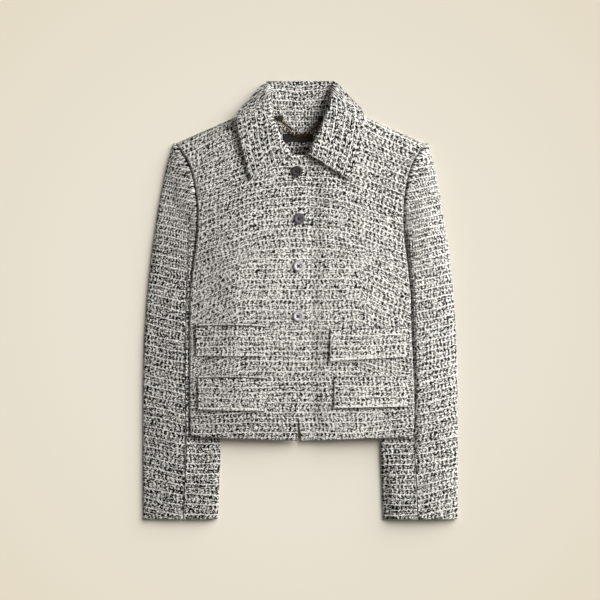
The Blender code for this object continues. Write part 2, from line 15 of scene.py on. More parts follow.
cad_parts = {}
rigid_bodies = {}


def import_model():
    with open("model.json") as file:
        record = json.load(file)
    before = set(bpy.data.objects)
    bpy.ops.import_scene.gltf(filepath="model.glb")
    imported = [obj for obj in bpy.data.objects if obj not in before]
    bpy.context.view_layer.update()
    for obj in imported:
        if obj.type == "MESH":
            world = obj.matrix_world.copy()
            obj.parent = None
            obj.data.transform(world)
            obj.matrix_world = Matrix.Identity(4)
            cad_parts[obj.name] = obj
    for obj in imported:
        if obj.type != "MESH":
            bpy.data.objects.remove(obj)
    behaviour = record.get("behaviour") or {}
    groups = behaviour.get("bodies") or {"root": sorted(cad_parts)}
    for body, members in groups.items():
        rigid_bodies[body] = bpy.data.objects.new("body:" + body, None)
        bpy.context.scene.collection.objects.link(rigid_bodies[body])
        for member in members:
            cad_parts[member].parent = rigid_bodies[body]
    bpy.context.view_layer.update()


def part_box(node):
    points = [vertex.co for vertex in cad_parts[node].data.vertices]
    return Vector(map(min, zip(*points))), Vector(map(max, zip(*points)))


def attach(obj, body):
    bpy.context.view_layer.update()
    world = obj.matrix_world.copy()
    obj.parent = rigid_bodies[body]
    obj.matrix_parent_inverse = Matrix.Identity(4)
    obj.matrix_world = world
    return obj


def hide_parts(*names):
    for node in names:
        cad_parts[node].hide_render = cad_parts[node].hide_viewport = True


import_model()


# The back is one panel of wool tweed, cut flat, that the whole jacket lies on. Its sides and
# shoulders are sewn to the fronts and sleeves, and a plain lining is bagged to its inner face.
MM = 0.001
RIGHT, LEFT = -1, 1
CLOTH = 2.2             # tweed wall
HALF = CLOTH / 2
GAP = 0.3               # between two layers
STEP = 2.4              # spacing of the points that carry a cloth's folds
EDGE_INSET, EDGE_BULGE = 0.26, 0.24     # shares of a wall by which its edges are rounded
NAP, NAP_SIZE, NAP_SEED = 0.16, 3.1, 5
HEM_CENTRE = -225.0
BACK_HEM = 2.0          # how much higher the back's hem lies
SIDE_SEAM_INSET = 9.0   # from the sleeve's inner edge to the back's edge
UNDERARM_INSET, UNDERARM_SPAN = 5.0, 0.2
BACK_ROWS, BACK_COLUMNS, ARMHOLE_POINTS = 180, 160, 40
LATTICE = 64            # random heights along a side of a field of bumps

# Body sections from hem to shoulder: the side's outermost point, the left side's extra width, the
# front edge or neck seam, and heights of the cloth's middle at the centre front, bust and side.
# under is 1 where the side tucks under and 0 at the armhole seam.
BodyRow = namedtuple(
    "BodyRow", "side_x left_extra side_y edge_x edge_y z_centre z_bust z_side under")
BODY_ROWS = [BodyRow(*row) for row in (
    (175.5, 3.0, -219.0, None, HEM_CENTRE, 12.5, 14.5, 11.1, 1.0),
    (176.8, 4.0, -186.0, None, -190.0, 13.5, 16.0, 11.1, 1.0),
    (177.0, 3.8, -150.0, None, -152.0, 15.0, 17.2, 11.1, 1.0),
    (177.0, 2.2, -110.0, None, -111.0, 16.5, 18.4, 11.1, 1.0),
    (177.0, 0.2, -70.0, None, -70.0, 19.0, 20.4, 11.1, 1.0),
    (176.8, -0.8, -30.0, None, -29.0, 21.0, 22.6, 11.1, 1.0),
    (175.8, -1.0, 8.0, None, 10.0, 22.5, 24.0, 11.2, 1.0),
    (172.6, -1.2, 42.0, None, 45.0, 23.5, 24.6, 11.8, 1.0),
    (168.4, -0.6, 72.0, None, 75.0, 24.0, 24.6, 12.8, 1.0),
    (165.2, 0.0, 95.0, None, 97.0, 24.0, 24.6, 14.6, 0.6),
    (164.0, 0.0, 108.0, None, 110.0, 24.0, 24.4, 16.2, 0.2),
    (163.4, 0.0, 126.0, None, 128.0, 24.0, 24.0, 17.0, 0.0),
    (163.8, 0.0, 149.0, None, 151.0, 23.5, 23.5, 17.0, 0.0),
    (166.5, 0.0, 176.0, None, 178.0, 23.0, 22.5, 17.0, 0.0),
    (172.0, 0.0, 203.0, None, 205.0, 22.5, 21.5, 16.5, 0.0),
    (180.0, 0.0, 224.0, None, 228.0, 22.0, 20.5, 15.5, 0.0),
    (186.0, 0.0, 233.5, 24.0, 234.0, 21.0, 19.0, 14.0, 0.0),
    (191.0, 0.0, 240.5, 52.0, 258.0, 20.0, 17.0, 12.0, 0.0),
    (195.5, 0.0, 246.5, 72.0, 285.0, 16.0, 11.5, 8.5, 0.0),
    (199.2, 0.0, 251.5, 80.0, 304.0, 3.9, 3.9, 3.9, 0.0),
)]
UNDERARM_ROW = 9
ARMHOLE = BODY_ROWS[UNDERARM_ROW:]
NECK_DROP = [(0.0, 270.0), (14.0, 277.0), (33.0, 290.0), (56.0, 300.0), (80.0, 304.0)]

# Sleeve sections from armhole to cuff: outer and inner edge, how much of the armhole's curve each
# keeps, and for each sleeve the heights of its top at the inner part, middle and outer part and the
# share of the width where it comes out from under the body. The right sleeve lies flatter.
SleeveRing = namedtuple("SleeveRing", "outer_x outer_y inner_x inner_y bow right left")
Rise = namedtuple("Rise", "z_in z_mid z_out start")
SLEEVE_RINGS = [SleeveRing(*edges, Rise(*right), Rise(*left)) for *edges, right, left in (
    (199.2, 251.5, 165.2, 95.0, 1.0, (8.6, 13.6, 12.8, 0.10), (8.6, 13.6, 12.8, 0.10)),
    (202.0, 246.5, 164.5, 90.0, 1.0, (7.6, 16.6, 15.0, 0.04), (8.6, 17.6, 16.2, 0.04)),
    (207.0, 237.0, 162.5, 83.0, 0.3, (6.4, 15.5, 14.0, 0.12), (9.6, 20.0, 18.5, 0.12)),
    (212.5, 219.0, 158.0, 68.0, 0.0, (5.4, 14.0, 12.5, 0.21), (10.6, 21.0, 20.0, 0.21)),
    (221.0, 178.0, 153.0, 42.0, 0.0, (5.0, 11.8, 10.4, 0.27), (11.5, 21.5, 20.5, 0.27)),
    (230.0, 126.0, 149.0, 10.0, 0.0, (5.0, 10.6, 9.4, 0.32), (11.5, 21.5, 20.5, 0.31)),
    (238.5, 66.0, 145.5, -30.0, 0.0, (5.0, 10.2, 9.0, 0.35), (11.5, 21.0, 20.5, 0.34)),
    (245.0, -2.0, 141.5, -80.0, 0.0, (5.0, 10.2, 9.0, 0.37), (11.5, 20.0, 20.0, 0.36)),
    (249.5, -76.0, 138.0, -135.0, 0.0, (5.0, 10.2, 9.0, 0.38), (11.5, 19.0, 18.5, 0.39)),
    (251.0, -150.0, 133.5, -190.0, 0.0, (5.0, 10.2, 9.0, 0.40), (11.5, 17.5, 16.5, 0.42)),
    (251.2, -225.0, 129.3, -238.0, 0.0, (5.0, 10.2, 9.0, 0.43), (11.0, 15.5, 14.5, 0.43)),
    (251.2, -290.0, 131.0, -294.0, 0.0, (8.6, 9.8, 8.4, 0.10), (7.4, 13.5, 12.5, 0.06)),
    (250.8, -351.0, 133.6, -351.0, 0.0, (8.6, 9.8, 8.4, 0.10), (7.4, 12.5, 11.5, 0.06)),
)]


def mix(a, b, t):
    return a + (b - a) * t


def ease(low, high, value):
    """0 below low, 1 above high and a smooth change between."""
    t = np.clip((np.asarray(value, float) - low) / (high - low), 0.0, 1.0)
    return t * t * (3.0 - 2.0 * t)


def along(knots, values, at):
    """Values at points between the knots, on a curve that never swings past the given ones."""
    knots, values, at = (np.asarray(a, float) for a in (knots, values, at))
    column = (-1,) + (1,) * (values.ndim - 1)
    run = np.diff(knots).reshape(column)
    slope = np.diff(values, axis=0) / run
    tangent = np.concatenate([slope[:1], np.zeros_like(slope[1:]), slope[-1:]])
    before, after = slope[:-1], slope[1:]
    wide, narrow = 2 * run[1:] + run[:-1], run[1:] + 2 * run[:-1]
    same = before * after > 0
    safe = np.where(same, wide * after + narrow * before, 1.0)
    tangent[1:-1] = np.where(same, (wide + narrow) * before * after / safe, 0.0)
    k = np.clip(np.searchsorted(knots, at, side="right") - 1, 0, len(run) - 1)
    h = run[k]
    t = (at - knots[k]).reshape(column) / h
    s = 1.0 - t
    return (s * s * (1 + 2 * t) * values[k] + t * t * (3 - 2 * t) * values[k + 1]
            + h * t * s * (s * tangent[k] - t * tangent[k + 1]))


def unevenness(u, v, size, seed):
    """Smooth random heights from -1 to 1, whose bumps are about one size apart."""
    lattice = np.random.default_rng(seed).uniform(-1.0, 1.0, (LATTICE, LATTICE))
    x, y = u / size, v / size
    i, j = np.floor(x).astype(int), np.floor(y).astype(int)
    fx, fy = ease(0.0, 1.0, x - i), ease(0.0, 1.0, y - j)
    i, j, i_next, j_next = (k % LATTICE for k in (i, j, i + 1, j + 1))
    low = mix(lattice[i, j], lattice[i_next, j], fx)
    high = mix(lattice[i, j_next], lattice[i_next, j_next], fx)
    return mix(low, high, fy)


def linear(hex_colour):
    """An sRGB hex colour as linear light, with alpha."""
    parts = [int(hex_colour[i:i + 2], 16) / 255 for i in (1, 3, 5)]
    return (*(c / 12.92 if c <= 0.04045 else ((c + 0.055) / 1.055) ** 2.4 for c in parts), 1.0)


def add(tree, kind, links=None, **settings):
    """A node with its settings; links gives each input a value, a socket or a source node."""
    node = tree.nodes.new(kind)
    for name, value in settings.items():
        setattr(node, name, value)
    for socket, source in (links or {}).items():
        if isinstance(source, bpy.types.Node):
            source = next(output for output in source.outputs if output.enabled)
        if isinstance(source, bpy.types.NodeSocket):
            tree.links.new(source, node.inputs[socket])
        else:
            node.inputs[socket].default_value = source
    return node


def new_material(name, surface):
    """A material whose Principled shader has these values; returns it, its tree and the shader."""
    made = bpy.data.materials.new(name)
    made.use_nodes = True
    shader = made.node_tree.nodes["Principled BSDF"]
    for socket, value in surface.items():
        shader.inputs[socket].default_value = value
    return made, made.node_tree, shader


# Boucle tweed: ecru and black wool in an open weave of looped yarns. The charts give how pale each
# pick and end of its small repeat runs; every yarn changes shade from float to float, and the dark
# ends zigzag between the pale picks. The eye sees thin pale lines, dark hooks and no shine.
DYES = ((0.744, "#040302"), (0.758, "#2a2620"), (0.766, "#d8d5ce"), (0.795, "#fffefa"))
PICK, END = 0.91, 0.94  # spacing of weft and warp yarns
PICK_CHART = (1.9, 0.55, 0.3, 0.15, 0.4, 0.2, 0.1, 0.35, 0.2,
              0.95, 0.4, 0.1, 0.3, 0.15, 0.35, 0.1, 0.25, 0.4)
END_CHART = (1.0, 0.7, 0.3, 0.0, 0.0, 0.2, 0.7)
PICKS, ENDS = float(len(PICK_CHART)), float(len(END_CHART))
ZIGZAG_PICKS, ZIGZAG_ENDS = 7.0, 0.35   # picks in each arm of a zigzag, ends it moves at each pick
WARP_FLOAT, WEFT_FLOAT = 2.8, 3.1       # crossings that a yarn passes in one shade
LOOP_SHARE, FLOAT_SHARE, PICK_SHARE, END_SHARE, DRIFT_SHARE = 0.20, 0.44, 0.32, 0.22, 0.07
DRIFT = 9.0             # size of the patches that drift paler or darker
SWAYS = ((40.0, 4.0), (5.0, 0.5))       # how the yarns wander: size of a bend, and how far it goes
LOOP_HEIGHT, RELIEF, RELIEF_STRENGTH = 0.8, 0.5, 0.5
WAVE = math.tau / 20    # a wave texture's period at scale 1
tweed, tree, shader = new_material("boucle_wool_tweed", {
    "Roughness": 0.95, "Specular IOR Level": 0.2, "Sheen Weight": 0.1, "Sheen Roughness": 0.6})
weave = add(tree, "ShaderNodeUVMap", uv_map="weave")
yarns = weave
for size, shift in SWAYS:
    sway = add(tree, "ShaderNodeTexNoise", {
        "Vector": weave, "Scale": 1 / (size * MM), "Detail": 0.0})
    centred = add(tree, "ShaderNodeVectorMath", {
        0: sway.outputs["Color"], 1: (0.5, 0.5, 0.5)}, operation="SUBTRACT")
    yarns = add(tree, "ShaderNodeVectorMath", {
        0: centred, 1: (shift * MM, shift * MM, 0.0), 2: yarns}, operation="MULTIPLY_ADD")
crossing = add(tree, "ShaderNodeVectorMath", {
    0: yarns, 1: (END * MM, PICK * MM, 1.0)}, operation="DIVIDE")
which = add(tree, "ShaderNodeVectorMath", {0: crossing}, operation="FLOOR")
loop_shade = add(tree, "ShaderNodeTexWhiteNoise", {"Vector": which})
drift = add(tree, "ShaderNodeTexNoise", {
    "Vector": weave, "Scale": 1 / (DRIFT * MM), "Detail": 1.0})
shade = add(tree, "ShaderNodeMath", {0: drift, 1: DRIFT_SHARE}, operation="MULTIPLY")
shade = add(tree, "ShaderNodeMath", {
    0: loop_shade, 1: LOOP_SHARE, 2: shade}, operation="MULTIPLY_ADD")
apart = add(tree, "ShaderNodeSeparateXYZ", {0: crossing}).outputs
swing = add(tree, "ShaderNodeMath", {0: apart["Y"], 1: ZIGZAG_PICKS}, operation="PINGPONG")
hooked = add(tree, "ShaderNodeMath", {
    0: swing, 1: ZIGZAG_ENDS, 2: apart["X"]}, operation="MULTIPLY_ADD")
band = add(tree, "ShaderNodeMath", {0: apart["Y"], 1: PICKS}, operation="DIVIDE")
band = add(tree, "ShaderNodeMath", {0: band}, operation="FLOOR")
slip = add(tree, "ShaderNodeTexWhiteNoise", {"W": band}, noise_dimensions="1D")
hooked = add(tree, "ShaderNodeMath", {0: slip, 1: ENDS, 2: hooked}, operation="MULTIPLY_ADD")
for yarn, lengthwise, floats, chart, repeat, share in (
        (apart["Y"], apart["X"], WEFT_FLOAT, PICK_CHART, PICKS, PICK_SHARE),
        (hooked, apart["Y"], WARP_FLOAT, END_CHART, ENDS, END_SHARE)):
    place = add(tree, "ShaderNodeMath", {0: yarn, 1: 0.0, 2: repeat}, operation="WRAP")
    place = add(tree, "ShaderNodeMath", {0: place, 1: repeat}, operation="DIVIDE")
    charted = add(tree, "ShaderNodeValToRGB", {0: place})
    ramp = charted.color_ramp
    ramp.interpolation = "CONSTANT"
    for i, value in enumerate(chart):
        stop = ramp.elements.new(i / repeat) if i else ramp.elements[0]
        stop.color = (value, value, value, 1.0)
    ramp.elements.remove(ramp.elements[-1])
    shade = add(tree, "ShaderNodeMath", {0: charted, 1: share, 2: shade}, operation="MULTIPLY_ADD")
    counted = add(tree, "ShaderNodeMath", {0: yarn}, operation="FLOOR")
    begins = add(tree, "ShaderNodeTexWhiteNoise", {"W": counted}, noise_dimensions="1D")
    passed = add(tree, "ShaderNodeMath", {
        0: lengthwise, 1: 1 / floats, 2: begins}, operation="MULTIPLY_ADD")
    passed = add(tree, "ShaderNodeMath", {0: passed}, operation="FLOOR")
    float_cell = add(tree, "ShaderNodeCombineXYZ", {"X": counted, "Y": passed, "Z": floats})
    float_shade = add(tree, "ShaderNodeTexWhiteNoise", {"Vector": float_cell})
    shade = add(tree, "ShaderNodeMath", {
        0: float_shade, 1: FLOAT_SHARE, 2: shade}, operation="MULTIPLY_ADD")
# Painted shade and highlight: a per-point attribute of each piece shifts the weave toward dark
# loops where light falls less, and toward pale loops where it falls more.
painted_shading_value = add(tree, "ShaderNodeAttribute", attribute_name="dark_share").outputs["Fac"]
shade = add(tree, "ShaderNodeMath", {0: shade, 1: painted_shading_value}, operation="SUBTRACT")
dyed = add(tree, "ShaderNodeValToRGB", {0: shade})
stops = dyed.color_ramp.elements
for place, colour in DYES:
    stops.new(place).color = linear(colour)
for undyed in (0, -1):
    stops.remove(stops[undyed])
rounded = add(tree, "ShaderNodeTexWave", {
    "Vector": yarns, "Scale": WAVE / (PICK * MM), "Distortion": 0.0}, bands_direction="Y")
height = add(tree, "ShaderNodeMath", {
    0: loop_shade, 1: LOOP_HEIGHT, 2: rounded.outputs["Fac"]}, operation="MULTIPLY_ADD")
relief = add(tree, "ShaderNodeBump", {
    "Height": height, "Strength": RELIEF_STRENGTH, "Distance": RELIEF * MM})
tree.links.new(dyed.outputs["Color"], shader.inputs["Base Color"])
tree.links.new(relief.outputs["Normal"], shader.inputs["Normal"])

# Viscose lining: a plain fine twill, pale beige, with a soft dull shine and a painted sheen in two
# tones along its twill lines.
TWILL = 1.2             # coarser than a real twill line, so that it shows
lining, tree, shader = new_material("viscose_lining", {"Roughness": 0.55, "Sheen Weight": 0.1})
thread = add(tree, "ShaderNodeTexWave", {
    "Vector": add(tree, "ShaderNodeUVMap", uv_map="weave"),
    "Scale": WAVE / (TWILL * MM), "Distortion": 1.0}, bands_direction="DIAGONAL")
# painted sheen along the twill lines
twill_painted_sheen = add(tree, "ShaderNodeMix", {
    0: thread.outputs["Fac"], 6: linear("#b9b3a6"), 7: linear("#cdc8bc")}, data_type="RGBA")
tree.links.new(twill_painted_sheen.outputs[2], shader.inputs["Base Color"])


def put(name, data):
    """A new object in the scene, at the origin."""
    made = bpy.data.objects.new(name, data)
    bpy.context.scene.collection.objects.link(made)
    return made


def cloth(name, middle, weave_uv, wall, slots, nap=NAP, dark_share=0.0):
    """A closed shell of cloth on a grid of points of its middle, with rounded edges.

    middle holds rows of points in millimetres, whose columns run to the viewer's right where its
    outer face is seen; weave_uv holds each point's place along weft and warp, in millimetres.
    The last argument is painted shade, or painted highlight below 0: how far the weave turns to
    dark or pale loops where light falls less or more; it is one number or one for each point.
    """
    rows, columns = middle.shape[:2]
    total = rows * columns
    normal = np.cross(np.gradient(middle, axis=1), np.gradient(middle, axis=0))
    normal /= np.linalg.norm(normal, axis=2, keepdims=True)
    u, v = weave_uv[..., 0], weave_uv[..., 1]
    lines = np.cos(math.tau * v / (PICK * PICKS))
    loft = nap * (unevenness(u, v, NAP_SIZE, NAP_SEED) + lines - 1.0)
    outer = middle + normal * (wall / 2 + loft[..., None])
    outer[..., 2] = np.maximum(outer[..., 2], 0.0)      # the floor presses the nap flat
    inner = middle - normal * (wall / 2)
    bulge = normal * wall * EDGE_BULGE
    outward = np.zeros_like(middle)
    outward[0] += middle[0] - middle[1]
    outward[-1] += middle[-1] - middle[-2]
    outward[:, 0] += middle[:, 0] - middle[:, 1]
    outward[:, -1] += middle[:, -1] - middle[:, -2]
    lengths = np.linalg.norm(outward, axis=2, keepdims=True)
    inset = outward / np.where(lengths > 0, lengths, 1.0) * wall * EDGE_INSET

    index = np.arange(total).reshape(rows, columns)
    rim = np.concatenate([index[0, :-1], index[:-1, -1], index[-1, :0:-1], index[:0:-1, 0]])

    def on_shell(above, below, high_edge, low_edge):
        """Values for the shell's points: two faces, and two lines round the rim between them."""
        grids = (grid.reshape(total, -1) for grid in (above, below, high_edge, low_edge))
        above, below, high_edge, low_edge = grids
        return np.concatenate([above, below, high_edge[rim], low_edge[rim]])

    points = on_shell(outer - inset, inner - inset, middle + bulge, middle - bulge) * MM
    quads = np.stack([index[:-1, :-1], index[:-1, 1:], index[1:, 1:], index[1:, :-1]], -1)
    quads = quads.reshape(-1, 4)
    start = 2 * total + np.arange(len(rim))
    loops_round = [rim, start, start + len(rim), rim + total]
    faces = [quads, quads[:, ::-1] + total]
    for high, low in zip(loops_round, loops_round[1:]):
        faces.append(np.stack([high, low, np.roll(low, -1), np.roll(high, -1)], -1))
    faces = np.concatenate(faces)
    mesh = bpy.data.meshes.new(name)
    mesh.from_pydata(points.tolist(), [], faces.tolist())
    for slot in slots:
        mesh.materials.append(slot)
    lined = np.zeros(len(faces), int)
    lined[len(quads):2 * len(quads)] = len(slots) - 1
    mesh.polygons.foreach_set("material_index", lined)
    every_uv = on_shell(*[weave_uv * MM] * 4)
    layer = mesh.uv_layers.new(name="weave")
    layer.data.foreach_set("uv", every_uv[faces.reshape(-1)].reshape(-1))
    # painted shade and highlight, kept on every point as an attribute that the tweed reads
    every_painted_shading = on_shell(*[np.broadcast_to(dark_share, (rows, columns))] * 4)
    shares = mesh.attributes.new("dark_share", "FLOAT", "POINT")
    shares.data.foreach_set("value", every_painted_shading.reshape(-1))
    mesh.shade_smooth()
    return put(name, mesh)


def declare(piece, node, slot, flat, area, rests_on):
    """Puts a laid cloth piece of the jacket on its body and hides the model's node for it."""
    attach(piece, "root")
    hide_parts(node)


def armhole_at(share, offset):
    """Points of the armhole seam, from 0 at the underarm to 1 at the shoulder, moved outward."""
    ys = np.array([row.side_y for row in ARMHOLE])
    xs = np.array([row.side_x for row in ARMHOLE])
    y = mix(ys[0], ys[-1], np.asarray(share, float))
    ahead, behind = np.minimum(y + 1, ys[-1]), np.maximum(y - 1, ys[0])
    slope = (along(ys, xs, ahead) - along(ys, xs, behind)) / 2
    length = np.hypot(slope, 1.0)
    return along(ys, xs, y) + offset / length, y - offset * slope / length


def sleeve_inner_x(y):
    """Distance of the sleeve's inner edge from the centre front."""
    upward = SLEEVE_RINGS[::-1]
    return np.interp(y, [ring.inner_y for ring in upward], [ring.inner_x for ring in upward])


side_y = [row.side_y for row in BODY_ROWS[:UNDERARM_ROW]]
side_x = [sleeve_inner_x(y) - SIDE_SEAM_INSET for y in side_y]
shares = np.linspace(0.0, 1.0, ARMHOLE_POINTS)
hole_x, hole_y = armhole_at(shares, -UNDERARM_INSET * (1.0 - ease(0.0, UNDERARM_SPAN, shares)))
t = np.linspace(0.0, 1.0, BACK_ROWS)[:, None]
u = np.linspace(1.0, -1.0, BACK_COLUMNS)    # its outer face is the underside
low = mix(HEM_CENTRE + BACK_HEM, side_y[0], np.abs(u))
tip_x, tip_y = hole_x[-1], hole_y[-1]
top = np.interp(np.abs(u) * tip_x, *zip(*NECK_DROP, (tip_x, tip_y)))
width = np.interp(mix(side_y[0], tip_y, t), np.append(side_y, hole_y), np.append(side_x, hole_x))
x, y = u * width, mix(low, top, t)
middle = np.stack([x, y, np.full_like(x, HALF)], -1)
back = cloth("back_panel", middle, np.stack([-x, y], -1), CLOTH, [tweed, lining], nap=0.0)
declare(back, "back", "tweed", (0.42, 0.54), 0.15, [])


# The fronts are two panels of the same tweed, each with a waist dart, lapped right over left. Each
# comes over the bust, rolls round the side and tucks under to the side seam; at the armhole and
# shoulder its edge is turned down into the seam.
SIDES = ((RIGHT, "right"), (LEFT, "left"))
OVERLAP_EDGE, UNDERLAP_EDGE = 13.6, 17.0        # of the right and left front, past the centre
EDGE_SWING = 18.6       # how far the edges swing apart between the last button and the hem
SWING_TOP = -64.0       # height of the last button
UNDERLAP_SWING = 1.3    # power by which the left edge swings away later
UNDERLAP_SINK = 3.3     # how much lower the left front lies under the right
UNDERLAP_EASE = (16.0, 42.0)    # from the centre, where it comes up again
BUST_AT = 0.55          # share of the half width where the front is highest
SIDE_LEVEL = 0.75       # how much the front levels out again before its side
LEFT_SIDE_LIFT = 7.4    # how much higher the left side lies, on its fuller sleeve
ROLL_RADIUS = 2.0       # of the bend round the side
SEAM_TURN, SEAM_DEPTH = 2.4, 4.0        # bend and depth of a seam allowance
SHOULDER_END = 6.4      # length of the shoulder row's flat end
TUCK_LEVEL = 2 / 3      # share of the tuck that lies level before it drops
TUCK_CLEAR, TUCK_SLOPE, TUCK_REST = 3.0, 9.0, 1.32      # past the sleeve, down, and off the back
TOP_POINTS, ROLL_POINTS, TUCK_POINTS = 84, 9, 12
TOP_FADE = 8            # points before the roll over which the folds fade
TUCK_WEAVE = 1.4        # weave from point to point round the roll and tuck
DART_X, DART_TOP, DART_END = 95.0, 62.0, -118.0
DART_DEPTH, DART_WIDTH = 1.1, 1.9
DART_FADES = (60.0, 10.0, 20.0)         # below its top, below its end and above its end
FRONT_SWELLS = ((0.5, 34.0, 11), (0.28, 13.0, 21))      # height, size and seed of soft swells

# Painted shade: the weave darkens in some places where light falls less: how much, and between
# which heights or widths it starts.
CHEST_PAINTED_SHADE, CHEST_SPAN = 0.042, (40.0, 160.0)
SIDE_PAINTED_SHADE, SIDE_SPAN = 0.044, (100.0, 165.0)
LOW_PAINTED_SHADE, LOW_SPAN = 0.058, (-190.0, -80.0)

# How steeply the weft falls outward beside the dart at each height, as a slope.
WeftFall = namedtuple("WeftFall", "y right left")
WEFT_FALL = [WeftFall(*row) for row in (
    (-230.0, 0.00, -0.12), (-190.0, 0.04, -0.10), (-150.0, 0.20, 0.06), (-100.0, 0.45, 0.32),
    (-40.0, 0.52, 0.46), (30.0, 0.52, 0.50), (100.0, 0.40, 0.42), (160.0, 0.42, 0.42),
    (230.0, 0.52, 0.50), (310.0, 0.50, 0.50),
)]

# Where the weft's fall starts and how soft it is, at the dart and on the chest, and the heights
# between which it changes.
FALL_START, FALL_SOFT, FALL_CHANGE = (DART_X, 62.0), (2.5, 16.0), (40.0, 100.0)

# Soft folds, each a trough (depth below 0) or ridge along a line, fading at both ends.
Fold = namedtuple("Fold", "x0 y0 x1 y1 width depth")
FOLD_START, FOLD_END = (-0.15, 0.35), (0.65, 1.15)      # shares of its line where a fold fades
FRONT_FOLDS = {
    RIGHT: [
        (150.0, 108.0, 92.0, 66.0, 9.0, -1.1), (158.0, 84.0, 108.0, 52.0, 8.0, 0.9),
        (152.0, 40.0, 112.0, -30.0, 12.0, -1.2), (60.0, 176.0, 100.0, 120.0, 14.0, 0.9),
        (118.0, 218.0, 140.0, 150.0, 13.0, -1.2), (30.0, 96.0, 46.0, -20.0, 16.0, 0.8),
        (20.0, -110.0, 44.0, -215.0, 12.0, -0.9), (100.0, -190.0, 150.0, -206.0, 10.0, 0.8),
        (64.0, 20.0, 80.0, -40.0, 10.0, -0.8), (150.0, 190.0, 158.0, 128.0, 7.0, 0.8),
    ],
    LEFT: [
        (152.0, 112.0, 96.0, 60.0, 10.0, -1.2), (160.0, 76.0, 112.0, 40.0, 9.0, 1.0),
        (156.0, 30.0, 118.0, -36.0, 11.0, -1.0), (58.0, 168.0, 92.0, 110.0, 13.0, 0.8),
        (112.0, 226.0, 138.0, 158.0, 14.0, -1.1), (36.0, 84.0, 52.0, -30.0, 15.0, -0.7),
        (24.0, -100.0, 40.0, -210.0, 11.0, 0.8), (110.0, -188.0, 165.0, -200.0, 11.0, -0.9),
        (70.0, 28.0, 82.0, -44.0, 9.0, 0.7), (148.0, 196.0, 156.0, 136.0, 7.0, 0.8),
    ],
}


def ridge(off, width):
    """1 on a line, fading smoothly to 0 on both sides of it."""
    return np.exp(-(off / width) ** 2)


def folded(folds, x, y):
    """Height that the folds add at points of a piece."""
    total = np.zeros_like(x)
    for fold in map(Fold._make, folds):
        run = np.array([fold.x1 - fold.x0, fold.y1 - fold.y0])
        length = np.hypot(*run)
        s = ((x - fold.x0) * run[0] + (y - fold.y0) * run[1]) / length ** 2
        off = ((x - fold.x0) * run[1] - (y - fold.y0) * run[0]) / length
        total += (fold.depth * ease(*FOLD_START, s) * (1.0 - ease(*FOLD_END, s))
                  * ridge(off, fold.width))
    return total


def swell(swells, side, x, y):
    """Height of the soft swells that laid cloth keeps."""
    return sum(height * unevenness(x, y, size, seed + side) for height, size, seed in swells)


def on_side(side, points, *others):
    """Grids drawn with X away from the centre front, set on a side with columns to the right."""
    return [grid[:, ::side] for grid in (points * (side, 1, 1), *others)]


def front_edge(side, y):
    """How far a front's edge lies past the centre front."""
    t = np.clip((SWING_TOP - y) / (SWING_TOP - HEM_CENTRE), 0.0, 1.0)
    if side == RIGHT:
        return -OVERLAP_EDGE + EDGE_SWING * (1.0 - (1.0 - t) ** 2)
    return -UNDERLAP_EDGE + EDGE_SWING * t ** UNDERLAP_SWING


def row_ends(row, side):
    """A body row's point on the edge or neck, and its outermost point."""
    edge_x = front_edge(side, row.edge_y) if row.edge_x is None else row.edge_x
    return edge_x, row.edge_y, row.side_x + (row.left_extra if side == LEFT else 0.0), row.side_y


def front_height(row, x, outer_x, side):
    """Height of the middle of a front's cloth at distances from the centre front."""
    q = np.clip(x / outer_x, 0.0, 1.0)
    t = np.clip((q - BUST_AT) / (1.0 - BUST_AT), 0.0, 1.0)
    fall = mix(t ** 2, ease(0.0, 1.0, t), SIDE_LEVEL)
    z_side = row.z_side + (LEFT_SIDE_LIFT * row.under if side == LEFT else 0.0)
    to_bust = mix(row.z_centre, row.z_bust, ease(0.0, BUST_AT, q))
    z = np.where(q < BUST_AT, to_bust, mix(row.z_bust, z_side, fall))
    if side == LEFT:
        z = z - UNDERLAP_SINK * (1.0 - ease(*UNDERLAP_EASE, x))
    return z


def front_row(row, side):
    """One section of a front: across the top, round the side and on under."""
    edge_x, edge_y, outer_x, outer_y = row_ends(row, side)
    seam = 1.0 - row.under
    at_shoulder = row is BODY_ROWS[-1]
    radius = mix(ROLL_RADIUS, SEAM_TURN, seam)
    reach = outer_x - (SHOULDER_END if at_shoulder else radius)
    across = np.linspace(0.0, 1.0, TOP_POINTS)
    x = mix(edge_x, reach, across)
    top = np.stack([x, mix(edge_y, outer_y, across), front_height(row, x, outer_x, side)], -1)
    count = ROLL_POINTS + TUCK_POINTS
    if at_shoulder:
        x = reach + SHOULDER_END * np.arange(1, count + 1) / count
        z = np.full(count, row.z_side)
    else:
        angle = math.radians(mix(180.0, 90.0, seam)) * np.arange(1, ROLL_POINTS + 1) / ROLL_POINTS
        roll_x = reach + radius * np.sin(angle)
        roll_z = top[-1, 2] - radius * (1.0 - np.cos(angle))
        depth = min(SEAM_DEPTH, roll_z[-1] - CLOTH - 2 * GAP)
        inner = sleeve_inner_x(outer_y) - TUCK_CLEAR
        step = np.arange(1, TUCK_POINTS + 1) / TUCK_POINTS
        tuck_x = np.interp(step, [0.0, TUCK_LEVEL, 1.0], [roll_x[-1], inner, inner - TUCK_SLOPE])
        tuck_z = mix(roll_z[-1], CLOTH + GAP + TUCK_REST, ease(TUCK_LEVEL, 1.0, step))
        x = np.concatenate([roll_x, mix(tuck_x, roll_x[-1], seam)])
        z = np.concatenate([roll_z, mix(tuck_z, roll_z[-1] - depth * step, seam)])
    return np.concatenate([top, np.stack([x, np.full(count, outer_y), z], -1)])


